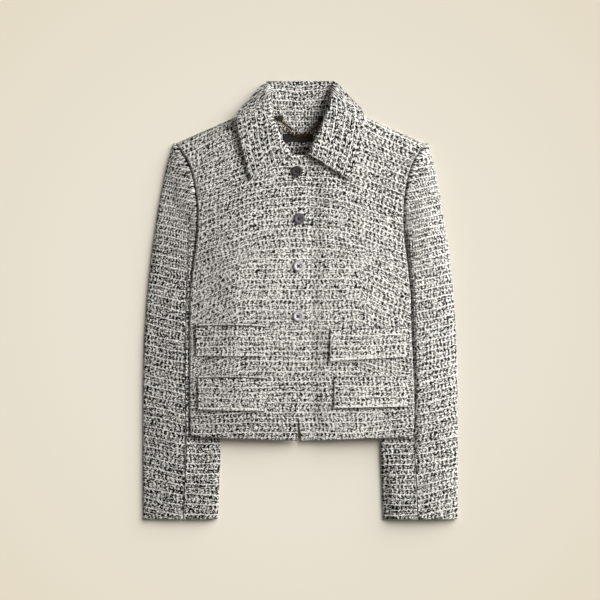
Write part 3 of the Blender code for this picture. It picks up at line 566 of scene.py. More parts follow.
def smooth_rows(lines, step):
    """A grid's lines with smooth ones in between, about one step apart."""
    gaps = np.linalg.norm(np.diff(lines, axis=0), axis=-1).mean(axis=1)
    knots = np.concatenate([[0.0], np.cumsum(gaps)])
    counts = np.maximum(np.round(gaps / step).astype(int), 1)
    places = [np.arange(n) / n + i for i, n in enumerate(counts)]
    places = np.concatenate([*places, [len(gaps)]])
    return along(knots, lines, np.interp(places, np.arange(len(knots)), knots))


def front_weave(side, x, y):
    """Place along weft and warp on a front; beside the dart the weft falls outward."""
    slopes = [fall.right if side == RIGHT else fall.left for fall in WEFT_FALL]
    slope = np.interp(y, [fall.y for fall in WEFT_FALL], slopes)
    above = ease(*FALL_CHANGE, y)
    start, soft = mix(*FALL_START, above), mix(*FALL_SOFT, above)
    return np.stack([x * side, y + slope * soft * np.logaddexp(0.0, (x - start) / soft)], -1)


fronts = {}
for side, word in SIDES:
    grid = smooth_rows(np.array([front_row(row, side) for row in BODY_ROWS]), STEP)
    x, y = grid[..., 0], grid[..., 1]
    on_top = 1.0 - ease(TOP_POINTS - TOP_FADE, TOP_POINTS, np.arange(grid.shape[1]))
    dart = 1.0 - ease(DART_TOP - DART_FADES[0], DART_TOP, y)
    dart = dart * ease(DART_END - DART_FADES[1], DART_END + DART_FADES[2], y)
    groove = -DART_DEPTH * dart * ridge(x - DART_X, DART_WIDTH)
    raised = folded(FRONT_FOLDS[side], x, y) + groove + swell(FRONT_SWELLS, side, x, y)
    grid[..., 2] += on_top * raised
    uv = front_weave(side, x, y)
    uv[:, TOP_POINTS:, 0] += side * TUCK_WEAVE * np.arange(1, ROLL_POINTS + TUCK_POINTS + 1)
    # painted shade toward the shoulders, toward the left front's side and low on the right front
    dark = CHEST_PAINTED_SHADE * ease(*CHEST_SPAN, y)
    if side == LEFT:
        dark = dark + SIDE_PAINTED_SHADE * ease(*SIDE_SPAN, x)
    else:
        dark = dark + LOW_PAINTED_SHADE * (1.0 - ease(*LOW_SPAN, y))
    grid, uv, dark = on_side(side, grid, uv, dark)
    name = f"front_{word}"
    fronts[side] = cloth(f"{name}_panel", grid, uv, CLOTH, [tweed, lining], dark_share=dark)
    declare(fronts[side], name, "tweed", (0.26, 0.54), 0.11, [back])


# Each sleeve is set in and cut in two pieces of the same tweed, a top sleeve and a narrow under
# sleeve, sewn along the forearm and under the arm. Laid flat it is a low tube on the surface,
# whose inner edge lies under the body's side.
RISE_SPAN = 0.075       # share of a ring's width over which its top comes up
RISE_LEAD = {RIGHT: 0.055, LEFT: 0.015}     # share of the width by which it comes up sooner
FALL = (0.6, 0.9)       # shares of the width between which it falls to its outer part
RING_OUTER_END = 4.5    # height of a ring's outer edge
RING_SQUARENESS = 2.3   # power of its round ends; 2 would make an ellipse
FOREARM_SEAM = 0.345    # share of the armhole where the seam between the two pieces starts
SEAM_PULL = 0.6         # how far a piece's edges are drawn in from the seams
SEAM_SHIFT = 0.72       # power by which that seam moves outward down the sleeve
BACK_SEAM_EASE = (0.75, 0.95)   # shares of the armhole where the lower half draws level
SEAM_OFFSET = CLOTH + GAP       # from the armhole seam to the first ring
GROOVE_WIDTH = 1.6      # from the first ring to the second, across the seam's ditch
ARMHOLE_RINGS = 2       # rings that follow the armhole
ELBOW_RING, ELBOW_POINTS = 6, 600           # the points are shared out evenly at the elbow
INNER_FADE, OUTER_FADE = (0.0, 12.0), (225.0, 245.0)    # where the folds fade at the edges
HEAD_FADE = (210.0, 240.0)      # and below the sleeve head
SLEEVE_SWELLS = ((0.45, 30.0, 31), (0.25, 12.0, 41))
WEFT_RISE = {"top": 0.23, "under": 0.02}    # slope by which a piece's weft rises outward
WEAVE_START, WEAVE_LEVEL = 500.0, 200.0     # offset of its weft, and where that is level
SLEEVE_CUT = {"top": ((0.20, 0.62), 0.075), "under": ((0.12, 0.53), 0.04)}

# Painted shade along the whole sleeve, less on the upper arm and more inside the wrist.
SLEEVE_PAINTED_SHADE = {RIGHT: 0.082, LEFT: 0.058}
UPPER_LESS_PAINTED_SHADE, UPPER_SPAN = {RIGHT: 0.042, LEFT: 0.0}, (60.0, 150.0)
WRIST_PAINTED_SHADE, WRIST_SPAN, INSIDE_SPAN = {RIGHT: 0.0, LEFT: 0.050}, (-260.0, -190.0), (150.0, 190.0)
SLEEVE_FOLDS = {
    RIGHT: [
        (176.0, 30.0, 232.0, 8.0, 9.0, -1.5), (180.0, -2.0, 238.0, -30.0, 10.0, 1.2),
        (186.0, -32.0, 246.0, -52.0, 8.0, -1.2), (176.0, 120.0, 214.0, 168.0, 9.0, -1.2),
        (182.0, 84.0, 226.0, 118.0, 10.0, 1.1), (214.0, 150.0, 234.0, 20.0, 9.0, 0.9),
        (200.0, -120.0, 240.0, -150.0, 11.0, -1.0), (196.0, -190.0, 236.0, -214.0, 12.0, 0.9),
        (150.0, -262.0, 200.0, -276.0, 10.0, -1.0), (204.0, -262.0, 240.0, -300.0, 11.0, -0.8),
        (150.0, -318.0, 180.0, -306.0, 9.0, 0.7),
    ],
    LEFT: [
        (178.0, 44.0, 234.0, 20.0, 10.0, -1.4), (182.0, 10.0, 240.0, -14.0, 9.0, 1.1),
        (184.0, -24.0, 244.0, -46.0, 9.0, -1.3), (178.0, 112.0, 216.0, 160.0, 9.0, -1.1),
        (184.0, 78.0, 228.0, 108.0, 10.0, 1.0), (216.0, 140.0, 236.0, 10.0, 9.0, 0.8),
        (198.0, -110.0, 242.0, -134.0, 11.0, -1.0), (194.0, -176.0, 238.0, -200.0, 12.0, 1.0),
        (146.0, -256.0, 196.0, -268.0, 10.0, -1.1), (200.0, -284.0, 240.0, -262.0, 11.0, 0.8),
        (148.0, -310.0, 186.0, -322.0, 9.0, -0.7),
    ],
}


def ring_points(side, k, shares, on_top):
    """Points across the upper or lower half of a sleeve ring, in the middle of its cloth."""
    ring = SLEEVE_RINGS[k]
    rise = ring.right if side == RIGHT else ring.left
    across = shares ** mix(1.0, SEAM_SHIFT, k / (len(SLEEVE_RINGS) - 1))
    roundness = (1.0 - np.abs(2.0 * across - 1.0) ** RING_SQUARENESS) ** (1.0 / RING_SQUARENESS)
    far = np.full_like(shares, HALF)
    if on_top:
        risen = ease(0.0, RISE_SPAN, across - rise.start + RISE_LEAD[side])
        far = mix(rise.z_in, rise.z_mid, risen)
        far = mix(far, rise.z_out, ease(*FALL, across)) - HALF
    if k < ARMHOLE_RINGS:
        offset = SEAM_OFFSET + k * GROOVE_WIDTH
        if k == 0 and not on_top:
            offset = mix(GAP, SEAM_OFFSET, ease(*BACK_SEAM_EASE, shares))
        x, y = armhole_at(shares, offset)
    else:
        bow = armhole_at(shares, 0.0)[0] - mix(ARMHOLE[0].side_x, ARMHOLE[-1].side_x, shares)
        x = mix(ring.inner_x, ring.outer_x, across) + ring.bow * bow
        y = mix(ring.inner_y, ring.outer_y, across)
    return np.stack([x, y, mix(mix(rise.z_in / 2, RING_OUTER_END, across), far, roundness)], -1)


def pull_in(rows, amount):
    """Rows of points with both ends drawn in along them."""
    for end, beside in ((0, 1), (-1, -2)):
        run = rows[:, beside] - rows[:, end]
        rows[:, end] += run * amount / np.linalg.norm(run, axis=-1, keepdims=True)
    return rows


def distance_along(lines, axis):
    """Distance from the first point along each line of a grid."""
    steps = np.linalg.norm(np.diff(lines, axis=axis), axis=-1)
    return np.insert(np.cumsum(steps, axis=axis), 0, 0.0, axis=axis)


every = np.linspace(0.0, 1.0, ELBOW_POINTS)
reach = distance_along(ring_points(LEFT, ELBOW_RING, every, True)[None], 1)[0]
shares = np.interp(np.linspace(0.0, reach[-1], int(reach[-1] / STEP)), reach, every)
shares = np.sort(np.append(shares, FOREARM_SEAM))
seam_at = int(np.searchsorted(shares, FOREARM_SEAM))
over, under = shares[seam_at:], shares[:seam_at + 1]
for side, word in SIDES:
    for part, first, second in (("top", (over, True), (over[-2::-1], False)),
                                ("under", (under[::-1], False), (under[1:], True))):
        rings = [np.concatenate([ring_points(side, k, *first), ring_points(side, k, *second)])
                 for k in range(len(SLEEVE_RINGS))][::-1]
        grid = smooth_rows(pull_in(np.array(rings), SEAM_PULL), STEP)
        x, y = grid[..., 0], grid[..., 1]
        top = np.concatenate([np.full(len(half[0]), half[1]) for half in (first, second)])
        shown = top * ease(*INNER_FADE, x - sleeve_inner_x(y)) * (1.0 - ease(*OUTER_FADE, x))
        shown = shown * (1.0 - ease(*HEAD_FADE, y))
        folds = folded(SLEEVE_FOLDS[side], x, y) + swell(SLEEVE_SWELLS, side, x, y)
        grid[..., 2] += shown * folds
        uv = np.stack([side * (distance_along(grid, 1) + WEAVE_START),
                       y - WEFT_RISE[part] * (x - WEAVE_LEVEL)], -1)
        # painted shade of the sleeve
        at_wrist = (1.0 - ease(*WRIST_SPAN, y)) * (1.0 - ease(*INSIDE_SPAN, x))
        dark = SLEEVE_PAINTED_SHADE[side] - UPPER_LESS_PAINTED_SHADE[side] * ease(*UPPER_SPAN, y)
        dark = dark + WRIST_PAINTED_SHADE[side] * at_wrist
        grid, uv, dark = on_side(side, grid, uv, dark)
        name = f"sleeve_{word}_{part}"
        sleeve = cloth(f"{name}_piece", grid, uv, CLOTH, [tweed, lining], dark_share=dark)
        declare(sleeve, name, "tweed", *SLEEVE_CUT[part], [back])


# The collar is cut twice in tweed, sewn round its outer edge and turned, so its wall is doubled.
# It is sewn to the neck, stands at the centre back and rolls over into two pointed leaves.
COLLAR_WALL = 4.0
ROLL_REACH, ROLL_SHARE = 6.0, 0.45      # the roll's bend on both sides, at most in this share
UPRIGHT_STAND, UPRIGHT_LEAF = 0.7, 0.5  # where the bend starts and ends on the upright back

# Collar sections from the front point to the back: the neck seam, the roll line, the outer edge,
# the roll's radius, 0 where the collar stands up, and how much nearer the left roll lies.
CollarRow = namedtuple(
    "CollarRow", "neck_x neck_y neck_z roll_x roll_y roll_z edge_x edge_y edge_z radius left_shift")
COLLAR_ROWS = [CollarRow(*row) for row in (
    (13.0, 226.5, 26.0, 15.2, 233.0, 30.5, 78.7, 190.1, 27.0, 2.2, 3.0),
    (32.0, 236.0, 24.4, 22.9, 246.7, 31.0, 84.0, 206.9, 26.5, 3.0, 5.0),
    (49.0, 251.0, 22.8, 32.0, 262.0, 30.0, 91.7, 233.0, 25.5, 3.0, 7.0),
    (66.0, 269.5, 21.0, 39.7, 280.3, 28.5, 97.8, 262.0, 23.5, 3.0, 6.0),
    (79.0, 291.0, 15.2, 45.8, 306.4, 25.5, 102.4, 291.0, 20.0, 3.0, 3.0),
    (79.0, 300.5, 10.2, 48.0, 325.0, 21.5, 99.4, 301.8, 16.5, 3.0, 1.0),
    (65.0, 299.5, 6.4, 48.8, 336.0, 17.5, 82.4, 320.0, 13.0, 3.0, 0.0),
    (48.0, 294.5, 5.0, 50.0, 343.6, 14.5, 65.0, 340.0, 12.0, 3.0, 0.0),
    (34.0, 288.5, 4.6, 47.0, 340.0, 9.0, 52.0, 350.4, 9.5, 0.0, 0.0),
    (17.5, 277.5, 4.6, 22.0, 338.0, 7.0, 24.8, 350.4, 7.5, 0.0, 0.0),
)]
COLLAR_CENTRE_BACK = CollarRow(0.0, 267.5, 4.6, 0.0, 338.0, 6.5, 0.0, 350.4, 7.0, 0.0, 0.0)
STAND_POINTS, BEND_POINTS, LEAF_POINTS = 10, 12, 26
COLLAR_SWELLS, SWELL_HEIGHTS = ((0.5, 22.0, 51),), (8.0, 18.0)
COLLAR_WEAVE = 900.0    # offset of its warp
# Painted shade over the collar, and more on its left leaf.
COLLAR_PAINTED_SHADE, LEFT_LEAF_PAINTED_SHADE, LEFT_LEAF_SPAN = 0.044, 0.032, (-20.0, 40.0)


def collar_row(row, side):
    """One section of the collar from its outer edge over the roll to the neck seam."""
    shift = row.left_shift if side == LEFT else 0.0
    neck = np.array([row.neck_x, row.neck_y, row.neck_z])
    roll = np.array([row.roll_x - shift, row.roll_y, row.roll_z])
    edge = np.array([row.edge_x, row.edge_y, row.edge_z])
    sunk = roll - (0.0, 0.0, 2.0 * row.radius)
    if row.radius:
        shares = [min(ROLL_REACH / np.hypot(*(to - roll)[:2]), ROLL_SHARE) for to in (neck, edge)]
        stand_end = mix(sunk, np.array([neck[0], neck[1], sunk[2]]), shares[0])
        leaf_start = mix(roll, np.array([edge[0], edge[1], roll[2]]), shares[1])
    else:
        stand_end = mix(neck, roll, UPRIGHT_STAND)
        leaf_start = mix(roll, edge, UPRIGHT_LEAF)
    t = np.linspace(0.0, 1.0, BEND_POINTS)[:, None]
    bend = ((1 - t) ** 3 * stand_end + 3 * t * (1 - t) ** 2 * sunk
            + 3 * t * t * (1 - t) * roll + t ** 3 * leaf_start)
    stand = mix(neck, stand_end, np.linspace(0.0, 1.0, STAND_POINTS, endpoint=False)[:, None])
    leaf = mix(leaf_start, edge, np.linspace(0.0, 1.0, LEAF_POINTS)[1:, None])
    return (np.concatenate([stand, bend, leaf]) * (side, 1, 1))[::-1]


rows = [collar_row(row, RIGHT) for row in COLLAR_ROWS] + [collar_row(COLLAR_CENTRE_BACK, RIGHT)]
rows += [collar_row(row, LEFT) for row in reversed(COLLAR_ROWS)]
grid = smooth_rows(np.array(rows), STEP)
x, y, z = np.moveaxis(grid, -1, 0)
across, lengthwise = distance_along(grid, 1), distance_along(grid, 0)
along_edge = np.broadcast_to(lengthwise[:, LEAF_POINTS, None], across.shape)
uv = np.stack([along_edge, COLLAR_WEAVE - across], -1)
z += swell(COLLAR_SWELLS, 0, x, y) * ease(*SWELL_HEIGHTS, z)
# painted shade, more on the left leaf
dark = COLLAR_PAINTED_SHADE + LEFT_LEAF_PAINTED_SHADE * ease(*LEFT_LEAF_SPAN, x)
collar = cloth("collar_turned", grid, uv, COLLAR_WALL, [tweed], dark_share=dark)
declare(collar, "collar", "tweed", (0.46, 0.12), 0.035, list(fronts.values()))


# Four pocket flaps of doubled tweed are set into welt seams across the fronts: a narrow piped
# welt lies above each, and the flap hangs free at its other three edges.
FLAP_WALL = 2.4
FLAP_LIFT = 2.8         # how far the lower edge stands off the front
FREE_SPAN = (6.0, 20.0)         # from its top, where a flap comes free
END_EASE = 30.0         # length over which a right flap's outer end is drawn down flat
CURL, CURL_SIZE = 0.5, 26.0     # of its free part
Flap = namedtuple("Flap", "name side inner outer top_inner top_outer low_inner low_outer")
FLAPS = [
    Flap("pocket_flap_right_upper", RIGHT, 56.8, 167.2, -43.0, -42.0, -89.6, -89.6),
    Flap("pocket_flap_right_lower", RIGHT, 54.4, 164.0, -126.0, -125.0, -177.6, -176.0),
    Flap("pocket_flap_left_upper", LEFT, 47.2, 170.0, -49.6, -46.0, -97.6, -91.0),
    Flap("pocket_flap_left_lower", LEFT, 53.6, 171.0, -125.0, -122.0, -173.0, -170.0),
]
FLAP_FILL = 0.98        # share of its length and width that a flap fills
WELT = 4.4              # height of the piped welt above the seam
WELT_ROUND, WELT_SOFT = 0.9, 1.0        # how far its piping stands up, and how broadly
SEAM_ARCH = 1.6         # how far the seam bows up in its middle
SEAM_SINK, SEAM_SOFT = 2.8, 1.5
SEAM_SHOWS = {RIGHT: 1.3, LEFT: 0.25}   # the left flaps' seams are pressed shut
EDGE_STITCH = 4.2       # from the lower edge to the stitching that holds it flat
STITCH_SINK, STITCH_SOFT = 0.9, 0.9
FINE_SPAN, FINE_STEP = 9.0, 0.75        # closer points at a flap's seam and lower edge
BED_STEP = 6            # every how many points the front below is measured
FLAP_WEAVE_X, FLAP_WEAVE_Y = 40.0, 7.0  # how far its weave is off the front's

# Painted shade in the seams above and below the welt, painted highlight on welt and lower edge.
SEAM_PAINTED_SHADE, TOP_SOFT, WELT_PAINTED_HIGHLIGHT = 0.48, 0.9, 0.26
EDGE_PAINTED_HIGHLIGHT, EDGE_SPAN = 0.14, (4.5, 5.5)
# painted shade over the right flaps
FLAP_PAINTED_SHADE = {RIGHT: 0.020, LEFT: 0.0}


def height_on(piece, x, y):
    """Heights of a piece's upper face at points given in millimetres."""
    mesh = piece.data
    tree = BVHTree.FromPolygons([v.co for v in mesh.vertices], [p.vertices for p in mesh.polygons])
    found = [tree.ray_cast((a * MM, b * MM, 1.0), (0, 0, -1))[0] for a, b in zip(x.flat, y.flat)]
    return np.array([point.z / MM for point in found]).reshape(x.shape)


for flap in FLAPS:
    side = flap.side
    across = np.linspace(0.0, 1.0, int((flap.outer - flap.inner) / STEP))
    deep = flap.top_inner + WELT - flap.low_inner
    fine = np.arange(0.0, FINE_SPAN, FINE_STEP)
    coarse = np.linspace(FINE_SPAN, deep - FINE_SPAN, int(deep / STEP))
    down = np.concatenate([fine, coarse, deep - fine[::-1]])[:, None]
    top = mix(flap.top_inner, flap.top_outer, across) + WELT + SEAM_ARCH * np.sin(math.pi * across)
    y = mix(top, mix(flap.low_inner, flap.low_outer, across), down / deep)
    x = np.broadcast_to(mix(flap.inner, flap.outer, across), y.shape)
    bed = height_on(fronts[side], side * x[::BED_STEP, ::BED_STEP], y[::BED_STEP, ::BED_STEP])
    for places in (down[:, 0], across):
        known = places[::BED_STEP]
        bed = along(known, bed, np.minimum(places, known[-1])).T
    piping, ditch = ridge(down - WELT / 2, WELT_SOFT), ridge(down - WELT, SEAM_SOFT)
    seam = SEAM_SHOWS[side] * (WELT_ROUND * piping - SEAM_SINK * ditch)
    seam = seam - STITCH_SINK * ridge(deep - down - EDGE_STITCH, STITCH_SOFT)
    free = ease(*FREE_SPAN, down)
    if side == RIGHT:
        free = free * ease(0.0, END_EASE, flap.outer - x)
    curl = CURL * unevenness(x, y, CURL_SIZE, len(flap.name))
    z = bed + GAP + FLAP_WALL / 2 + seam + (FLAP_LIFT * (down / deep) ** 2 + curl) * free
    uv = np.stack([side * x + FLAP_WEAVE_X, y + side * FLAP_WEAVE_Y], -1)
    # painted shade in the seams, painted highlight on the welt and lower edge
    dark = SEAM_PAINTED_SHADE * (ridge(down, TOP_SOFT) + ditch) - WELT_PAINTED_HIGHLIGHT * piping
    dark = SEAM_SHOWS[side] * dark + FLAP_PAINTED_SHADE[side]
    dark = dark - EDGE_PAINTED_HIGHLIGHT * (1.0 - ease(*EDGE_SPAN, deep - down))
    grids = on_side(side, np.stack([x, y, z], -1), uv, dark)
    grid, uv, dark = (rows[::-1] for rows in grids)
    piece = cloth(f"{flap.name}_turned", grid, uv, FLAP_WALL, [tweed], dark_share=dark)
    size = ((flap.outer - flap.inner) * MM, deep * MM)
    declare(piece, flap.name, "tweed", size, size[0] * size[1] * FLAP_FILL, [fronts[side]])


# The back neck facing is a small tweed piece sewn inside the back neck, all that shows of the
# inside. A black woven label, left bare, is stitched on it just under the collar seam.
FACING_LOW_Y, FACING_LOW_X, FACING_TOP_X = 205.0, 26.0, 44.0
FACING_TOP = [(0.0, 266.5), (18.0, 275.8), (34.0, 285.0), (44.0, 290.5)]
FACING_ROWS, FACING_COLUMNS = 34, 30
# painted shade for the shade inside the neck
FACING_PAINTED_SHADE = 0.07      # more dark loops, in the shade inside the neck
LABEL_X, LABEL_Y = (-28.0, 20.0), (253.3, 266.4)
LABEL_WALL, LABEL_Z = 0.6, 5.3
LABEL_ROWS, LABEL_COLUMNS = 12, 33
LABEL_SWELLS = ((0.12, 9.0, 61),)

u = np.linspace(-1.0, 1.0, FACING_COLUMNS)
t = np.linspace(0.0, 1.0, FACING_ROWS)[:, None]
x = u * mix(FACING_LOW_X, FACING_TOP_X, t)
y = mix(FACING_LOW_Y, np.interp(np.abs(u) * FACING_TOP_X, *zip(*FACING_TOP)), t)
middle, uv = np.stack([x, y, np.full_like(x, CLOTH + GAP + HALF)], -1), np.stack([x, y], -1)
facing = cloth("back_neck_facing_piece", middle, uv, CLOTH, [tweed], dark_share=FACING_PAINTED_SHADE)
declare(facing, "back_neck_facing", "tweed", (0.088, 0.0855), 0.0052, [back])

# Black damask ribbon: fine crosswise ribs, nearly black, with a faint silky shine.
RIB, RIB_HEIGHT = 0.5, 0.1      # their real size, seen only in close views
damask, tree, shader = new_material("black_woven_ribbon", {"Roughness": 0.6})
ribs = add(tree, "ShaderNodeTexWave", {
    "Vector": add(tree, "ShaderNodeUVMap", uv_map="weave"),
    "Scale": WAVE / (RIB * MM), "Distortion": 0.6}, bands_direction="Y").outputs["Fac"]
inked = add(tree, "ShaderNodeMix", {
    0: ribs, 6: linear("#0b0a0b"), 7: linear("#1d1b1c")}, data_type="RGBA")
raised = add(tree, "ShaderNodeBump", {
    "Height": ribs, "Strength": 0.4, "Distance": RIB_HEIGHT * MM})
tree.links.new(inked.outputs[2], shader.inputs["Base Color"])
tree.links.new(raised.outputs["Normal"], shader.inputs["Normal"])

x, y = np.meshgrid(np.linspace(*LABEL_X, LABEL_COLUMNS), np.linspace(*LABEL_Y, LABEL_ROWS))
middle = np.stack([x, y, LABEL_Z + swell(LABEL_SWELLS, 0, x, y)], -1)
label = cloth("neck_label_woven", middle, np.stack([x, y], -1), LABEL_WALL, [damask], nap=0.0)
label_size = (np.ptp(LABEL_X) * MM, np.ptp(LABEL_Y) * MM)
declare(label, "neck_label", "black_woven", label_size, label_size[0] * label_size[1], [facing])


# The hanger is a brass curb chain between two folded tabs of the same black ribbon, caught in the
# collar seam. Its links are bent from round wire, each turned against the one before.
TAB_WIDTH, TAB_LENGTH, TAB_WALL, TAB_Z, TAB_POINTS = 8.0, 8.6, 1.6, 8.7, 12
TABS = (("right", -32.0, 291.4), ("left", 32.4, 290.2))
CHAIN_ROUTE = [
    (-27.6, 286.0, 10.6), (-25.4, 279.0, 10.6), (-20.6, 272.8, 10.4), (-14.0, 267.4, 10.0),
    (-6.6, 263.2, 9.0), (0.8, 261.8, 8.6), (8.2, 263.8, 9.0), (14.2, 267.8, 10.0),
    (20.4, 273.4, 10.4), (26.4, 278.8, 10.6), (28.6, 284.6, 10.6),
]
ROUTE_POINTS = 120
LINK_LENGTH, LINK_WIDTH, LINK_WIRE, LINK_PITCH = 5.4, 4.0, 1.1, 3.3
LINK_ROLL = math.radians(32.0)
LINK_SIDES, WIRE_SIDES = 20, 8

across = np.linspace(-0.5, 0.5, TAB_POINTS)
for word, tab_x, tab_y in TABS:
    x, y = np.meshgrid(tab_x + TAB_WIDTH * across, tab_y + TAB_LENGTH * across)
    middle, uv = np.stack([x, y, np.full_like(x, TAB_Z)], -1), np.stack([x, y], -1)
    tab = cloth(f"chain_tab_{word}_folded", middle, uv, TAB_WALL, [damask], nap=0.0)
    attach(tab, "root")
    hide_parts(f"chain_tab_{word}")

# Antique brass: dark yellow metal, browner in its worn patches, with soft bright edges.
WORN_PATCH = 4.0
brass, tree, shader = new_material("antique_brass", {"Metallic": 1.0, "Roughness": 0.38})
wear = add(tree, "ShaderNodeTexNoise", {
    "Vector": add(tree, "ShaderNodeTexCoord").outputs["Object"],
    "Scale": 1 / (WORN_PATCH * MM), "Detail": 3.0})
aged = add(tree, "ShaderNodeMix", {
    0: wear, 6: linear("#4a3414"), 7: linear("#86652c")}, data_type="RGBA")
tree.links.new(aged.outputs[2], shader.inputs["Base Color"])


def repeat_along(name, paths, group, sizes):
    """A mesh of what a node group sets along paths, each a row of points in millimetres."""
    curve = bpy.data.curves.new(name, "CURVE")
    curve.dimensions = "3D"
    for path in paths:
        spline = curve.splines.new("POLY")
        spline.points.add(len(path) - 1)
        for point, place in zip(spline.points, path):
            point.co = (*(place * MM), 1.0)
    guide = put(f"{name}_path", curve)
    modifier = guide.modifiers.new("repeat", "NODES")
    modifier.node_group = group
    for socket in group.interface.items_tree:
        if socket.name in sizes:
            modifier[socket.identifier] = sizes[socket.name] * MM
    bpy.context.view_layer.update()
    made = guide.evaluated_get(bpy.context.evaluated_depsgraph_get())
    mesh = bpy.data.meshes.new_from_object(made)
    bpy.data.objects.remove(guide)
    mesh.shade_smooth()
    piece = put(name, mesh)
    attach(piece, "root")
    return piece


def new_group(name, sizes):
    """An empty geometry node group with named sizes; returns it with its input and output nodes."""
    group = bpy.data.node_groups.new(name, "GeometryNodeTree")
    group.interface.new_socket("Geometry", in_out="INPUT", socket_type="NodeSocketGeometry")
    group.interface.new_socket("Geometry", in_out="OUTPUT", socket_type="NodeSocketGeometry")
    for size in sizes:
        group.interface.new_socket(size, in_out="INPUT", socket_type="NodeSocketFloat")
    return group, add(group, "NodeGroupInput").outputs, add(group, "NodeGroupOutput").inputs


def end_group(group, result, made, material):
    """Ends a node group: what it made becomes real geometry in one material."""
    solid = add(group, "GeometryNodeRealizeInstances", {"Geometry": made})
    dressed = add(group, "GeometryNodeSetMaterial", {"Geometry": solid, "Material": material})
    group.links.new(dressed.outputs[0], result["Geometry"])


links, given, result = new_group("curb_links", ["Pitch", "Length", "Width", "Wire"])
places = add(links, "GeometryNodeResampleCurve", {
    "Curve": given["Geometry"], "Length": given["Pitch"]}, mode="LENGTH")
ring = add(links, "GeometryNodeCurvePrimitiveCircle", {"Resolution": LINK_SIDES, "Radius": 0.5})
stretch = add(links, "ShaderNodeCombineXYZ", {"X": given["Length"], "Y": given["Width"], "Z": 1.0})
oval = add(links, "GeometryNodeTransform", {"Geometry": ring, "Scale": stretch})
half_wire = add(links, "ShaderNodeMath", {0: given["Wire"], 1: 0.5}, operation="MULTIPLY")
wire = add(links, "GeometryNodeCurvePrimitiveCircle", {
    "Resolution": WIRE_SIDES, "Radius": half_wire})
link = add(links, "GeometryNodeCurveToMesh", {"Curve": oval, "Profile Curve": wire})
count = add(links, "GeometryNodeInputIndex")
odd = add(links, "ShaderNodeMath", {0: count, 1: 2.0}, operation="MODULO")
roll = add(links, "ShaderNodeMath", {
    0: odd, 1: 2 * LINK_ROLL, 2: -LINK_ROLL}, operation="MULTIPLY_ADD")
tangent = add(links, "GeometryNodeInputTangent")
lengthwise = add(links, "FunctionNodeAlignRotationToVector", {"Vector": tangent}, axis="X")
rolled = add(links, "FunctionNodeAxisAngleToRotation", {"Axis": (1.0, 0.0, 0.0), "Angle": roll})
turned = add(links, "FunctionNodeRotateRotation", {
    "Rotation": lengthwise, "Rotate By": rolled}, rotation_space="LOCAL")
strung = add(links, "GeometryNodeInstanceOnPoints", {
    "Points": places, "Instance": link, "Rotation": turned})
end_group(links, result, strung, brass)

knots = np.arange(len(CHAIN_ROUTE))
route = along(knots, CHAIN_ROUTE, np.linspace(0.0, knots[-1], ROUTE_POINTS))
chain = repeat_along("hanger_chain_links", [route], links, {
    "Pitch": LINK_PITCH, "Length": LINK_LENGTH - LINK_WIRE, "Width": LINK_WIDTH - LINK_WIRE,
    "Wire": LINK_WIRE})
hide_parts("hanger_chain")


# Four shell buttons with four holes close the front, each sewn on with a cross of dark thread. The
# buttonholes beside them are worked in ecru silk through the right front, square to its edge.
BUTTON_COLOURS = (
    ("#2b2826", "#4d4846", "#2e2b29"), ("#5b5860", "#7f7b85", "#58545d"),
    ("#d8d5da", "#f0eef2", "#b4b1b7"), ("#d0cdd2", "#e9e7eb", "#aeabb1"),
)                       # two tones of each face and the tone of its rim
RIM_FROM, RIM_TO = 5.8, 7.6     # from the middle, where the face darkens into the rim
WEB_AT = 0.62           # share of a button's height where its holes open
HOLE_PITCH = 4.2
HOLE_DEEP = 1.2
STRAND, STRANDS, STRAND_SIDES, STRAND_POINTS = 0.75, 3, 8, 15
STRANDS_APART, STRANDS_CLOSE = 0.8, 0.4     # in strands in the middle, and how they close up
STRAND_RISE = 0.6       # by how much of its width a strand lies above what is under it
STRAND_TAUT, STRAND_DIP = 1.25, (0.75, 1.0)     # it reaches its hole early and dips into it
SLIT = (-17.0, 3.0)     # ends of a buttonhole, from its button's middle
SLIT_POINTS, SLIT_SQUARE, SLIT_LIFT = 90, 4.0, 0.2
SILK_LENGTH, SILK_WIDTH, SILK_PITCH, SILK_SIDES = 2.7, 0.6, 0.52, 8
SILK_UNEVEN, SILK_SEED = (0.85, 1.15), 7

# Polished shell: clouded layers in two tones of one colour, with a thin soft gloss on top.
CLOUD = 7.0
for number, (dark, pale, rim) in enumerate(BUTTON_COLOURS, 1):
    shell, tree, shader = new_material(f"polished_shell_{number}", {
        "Roughness": 0.55, "Coat Weight": 0.12, "Coat Roughness": 0.3})
    where = add(tree, "ShaderNodeTexCoord").outputs["Object"]
    cloud = add(tree, "ShaderNodeTexNoise", {
        "Vector": where, "Scale": 1 / (CLOUD * MM), "Detail": 2.0, "Distortion": 1.5})
    face = add(tree, "ShaderNodeMix", {
        0: cloud, 6: linear(dark), 7: linear(pale)}, data_type="RGBA").outputs[2]
    low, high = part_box(f"button_{number}")
    middle = Vector(low).lerp(Vector(high), 0.5)
    out = add(tree, "ShaderNodeVectorMath", {0: where, 1: middle}, operation="DISTANCE")
    at_rim = add(tree, "ShaderNodeMapRange", {
        "Value": out.outputs["Value"], "From Min": RIM_FROM * MM, "From Max": RIM_TO * MM})
    tone = add(tree, "ShaderNodeMix", {0: at_rim, 6: face, 7: linear(rim)}, data_type="RGBA")
    tree.links.new(tone.outputs[2], shader.inputs["Base Color"])
    button = bpy.data.objects[f"button_{number}"]
    button.data.materials.clear()
    button.data.materials.append(shell)

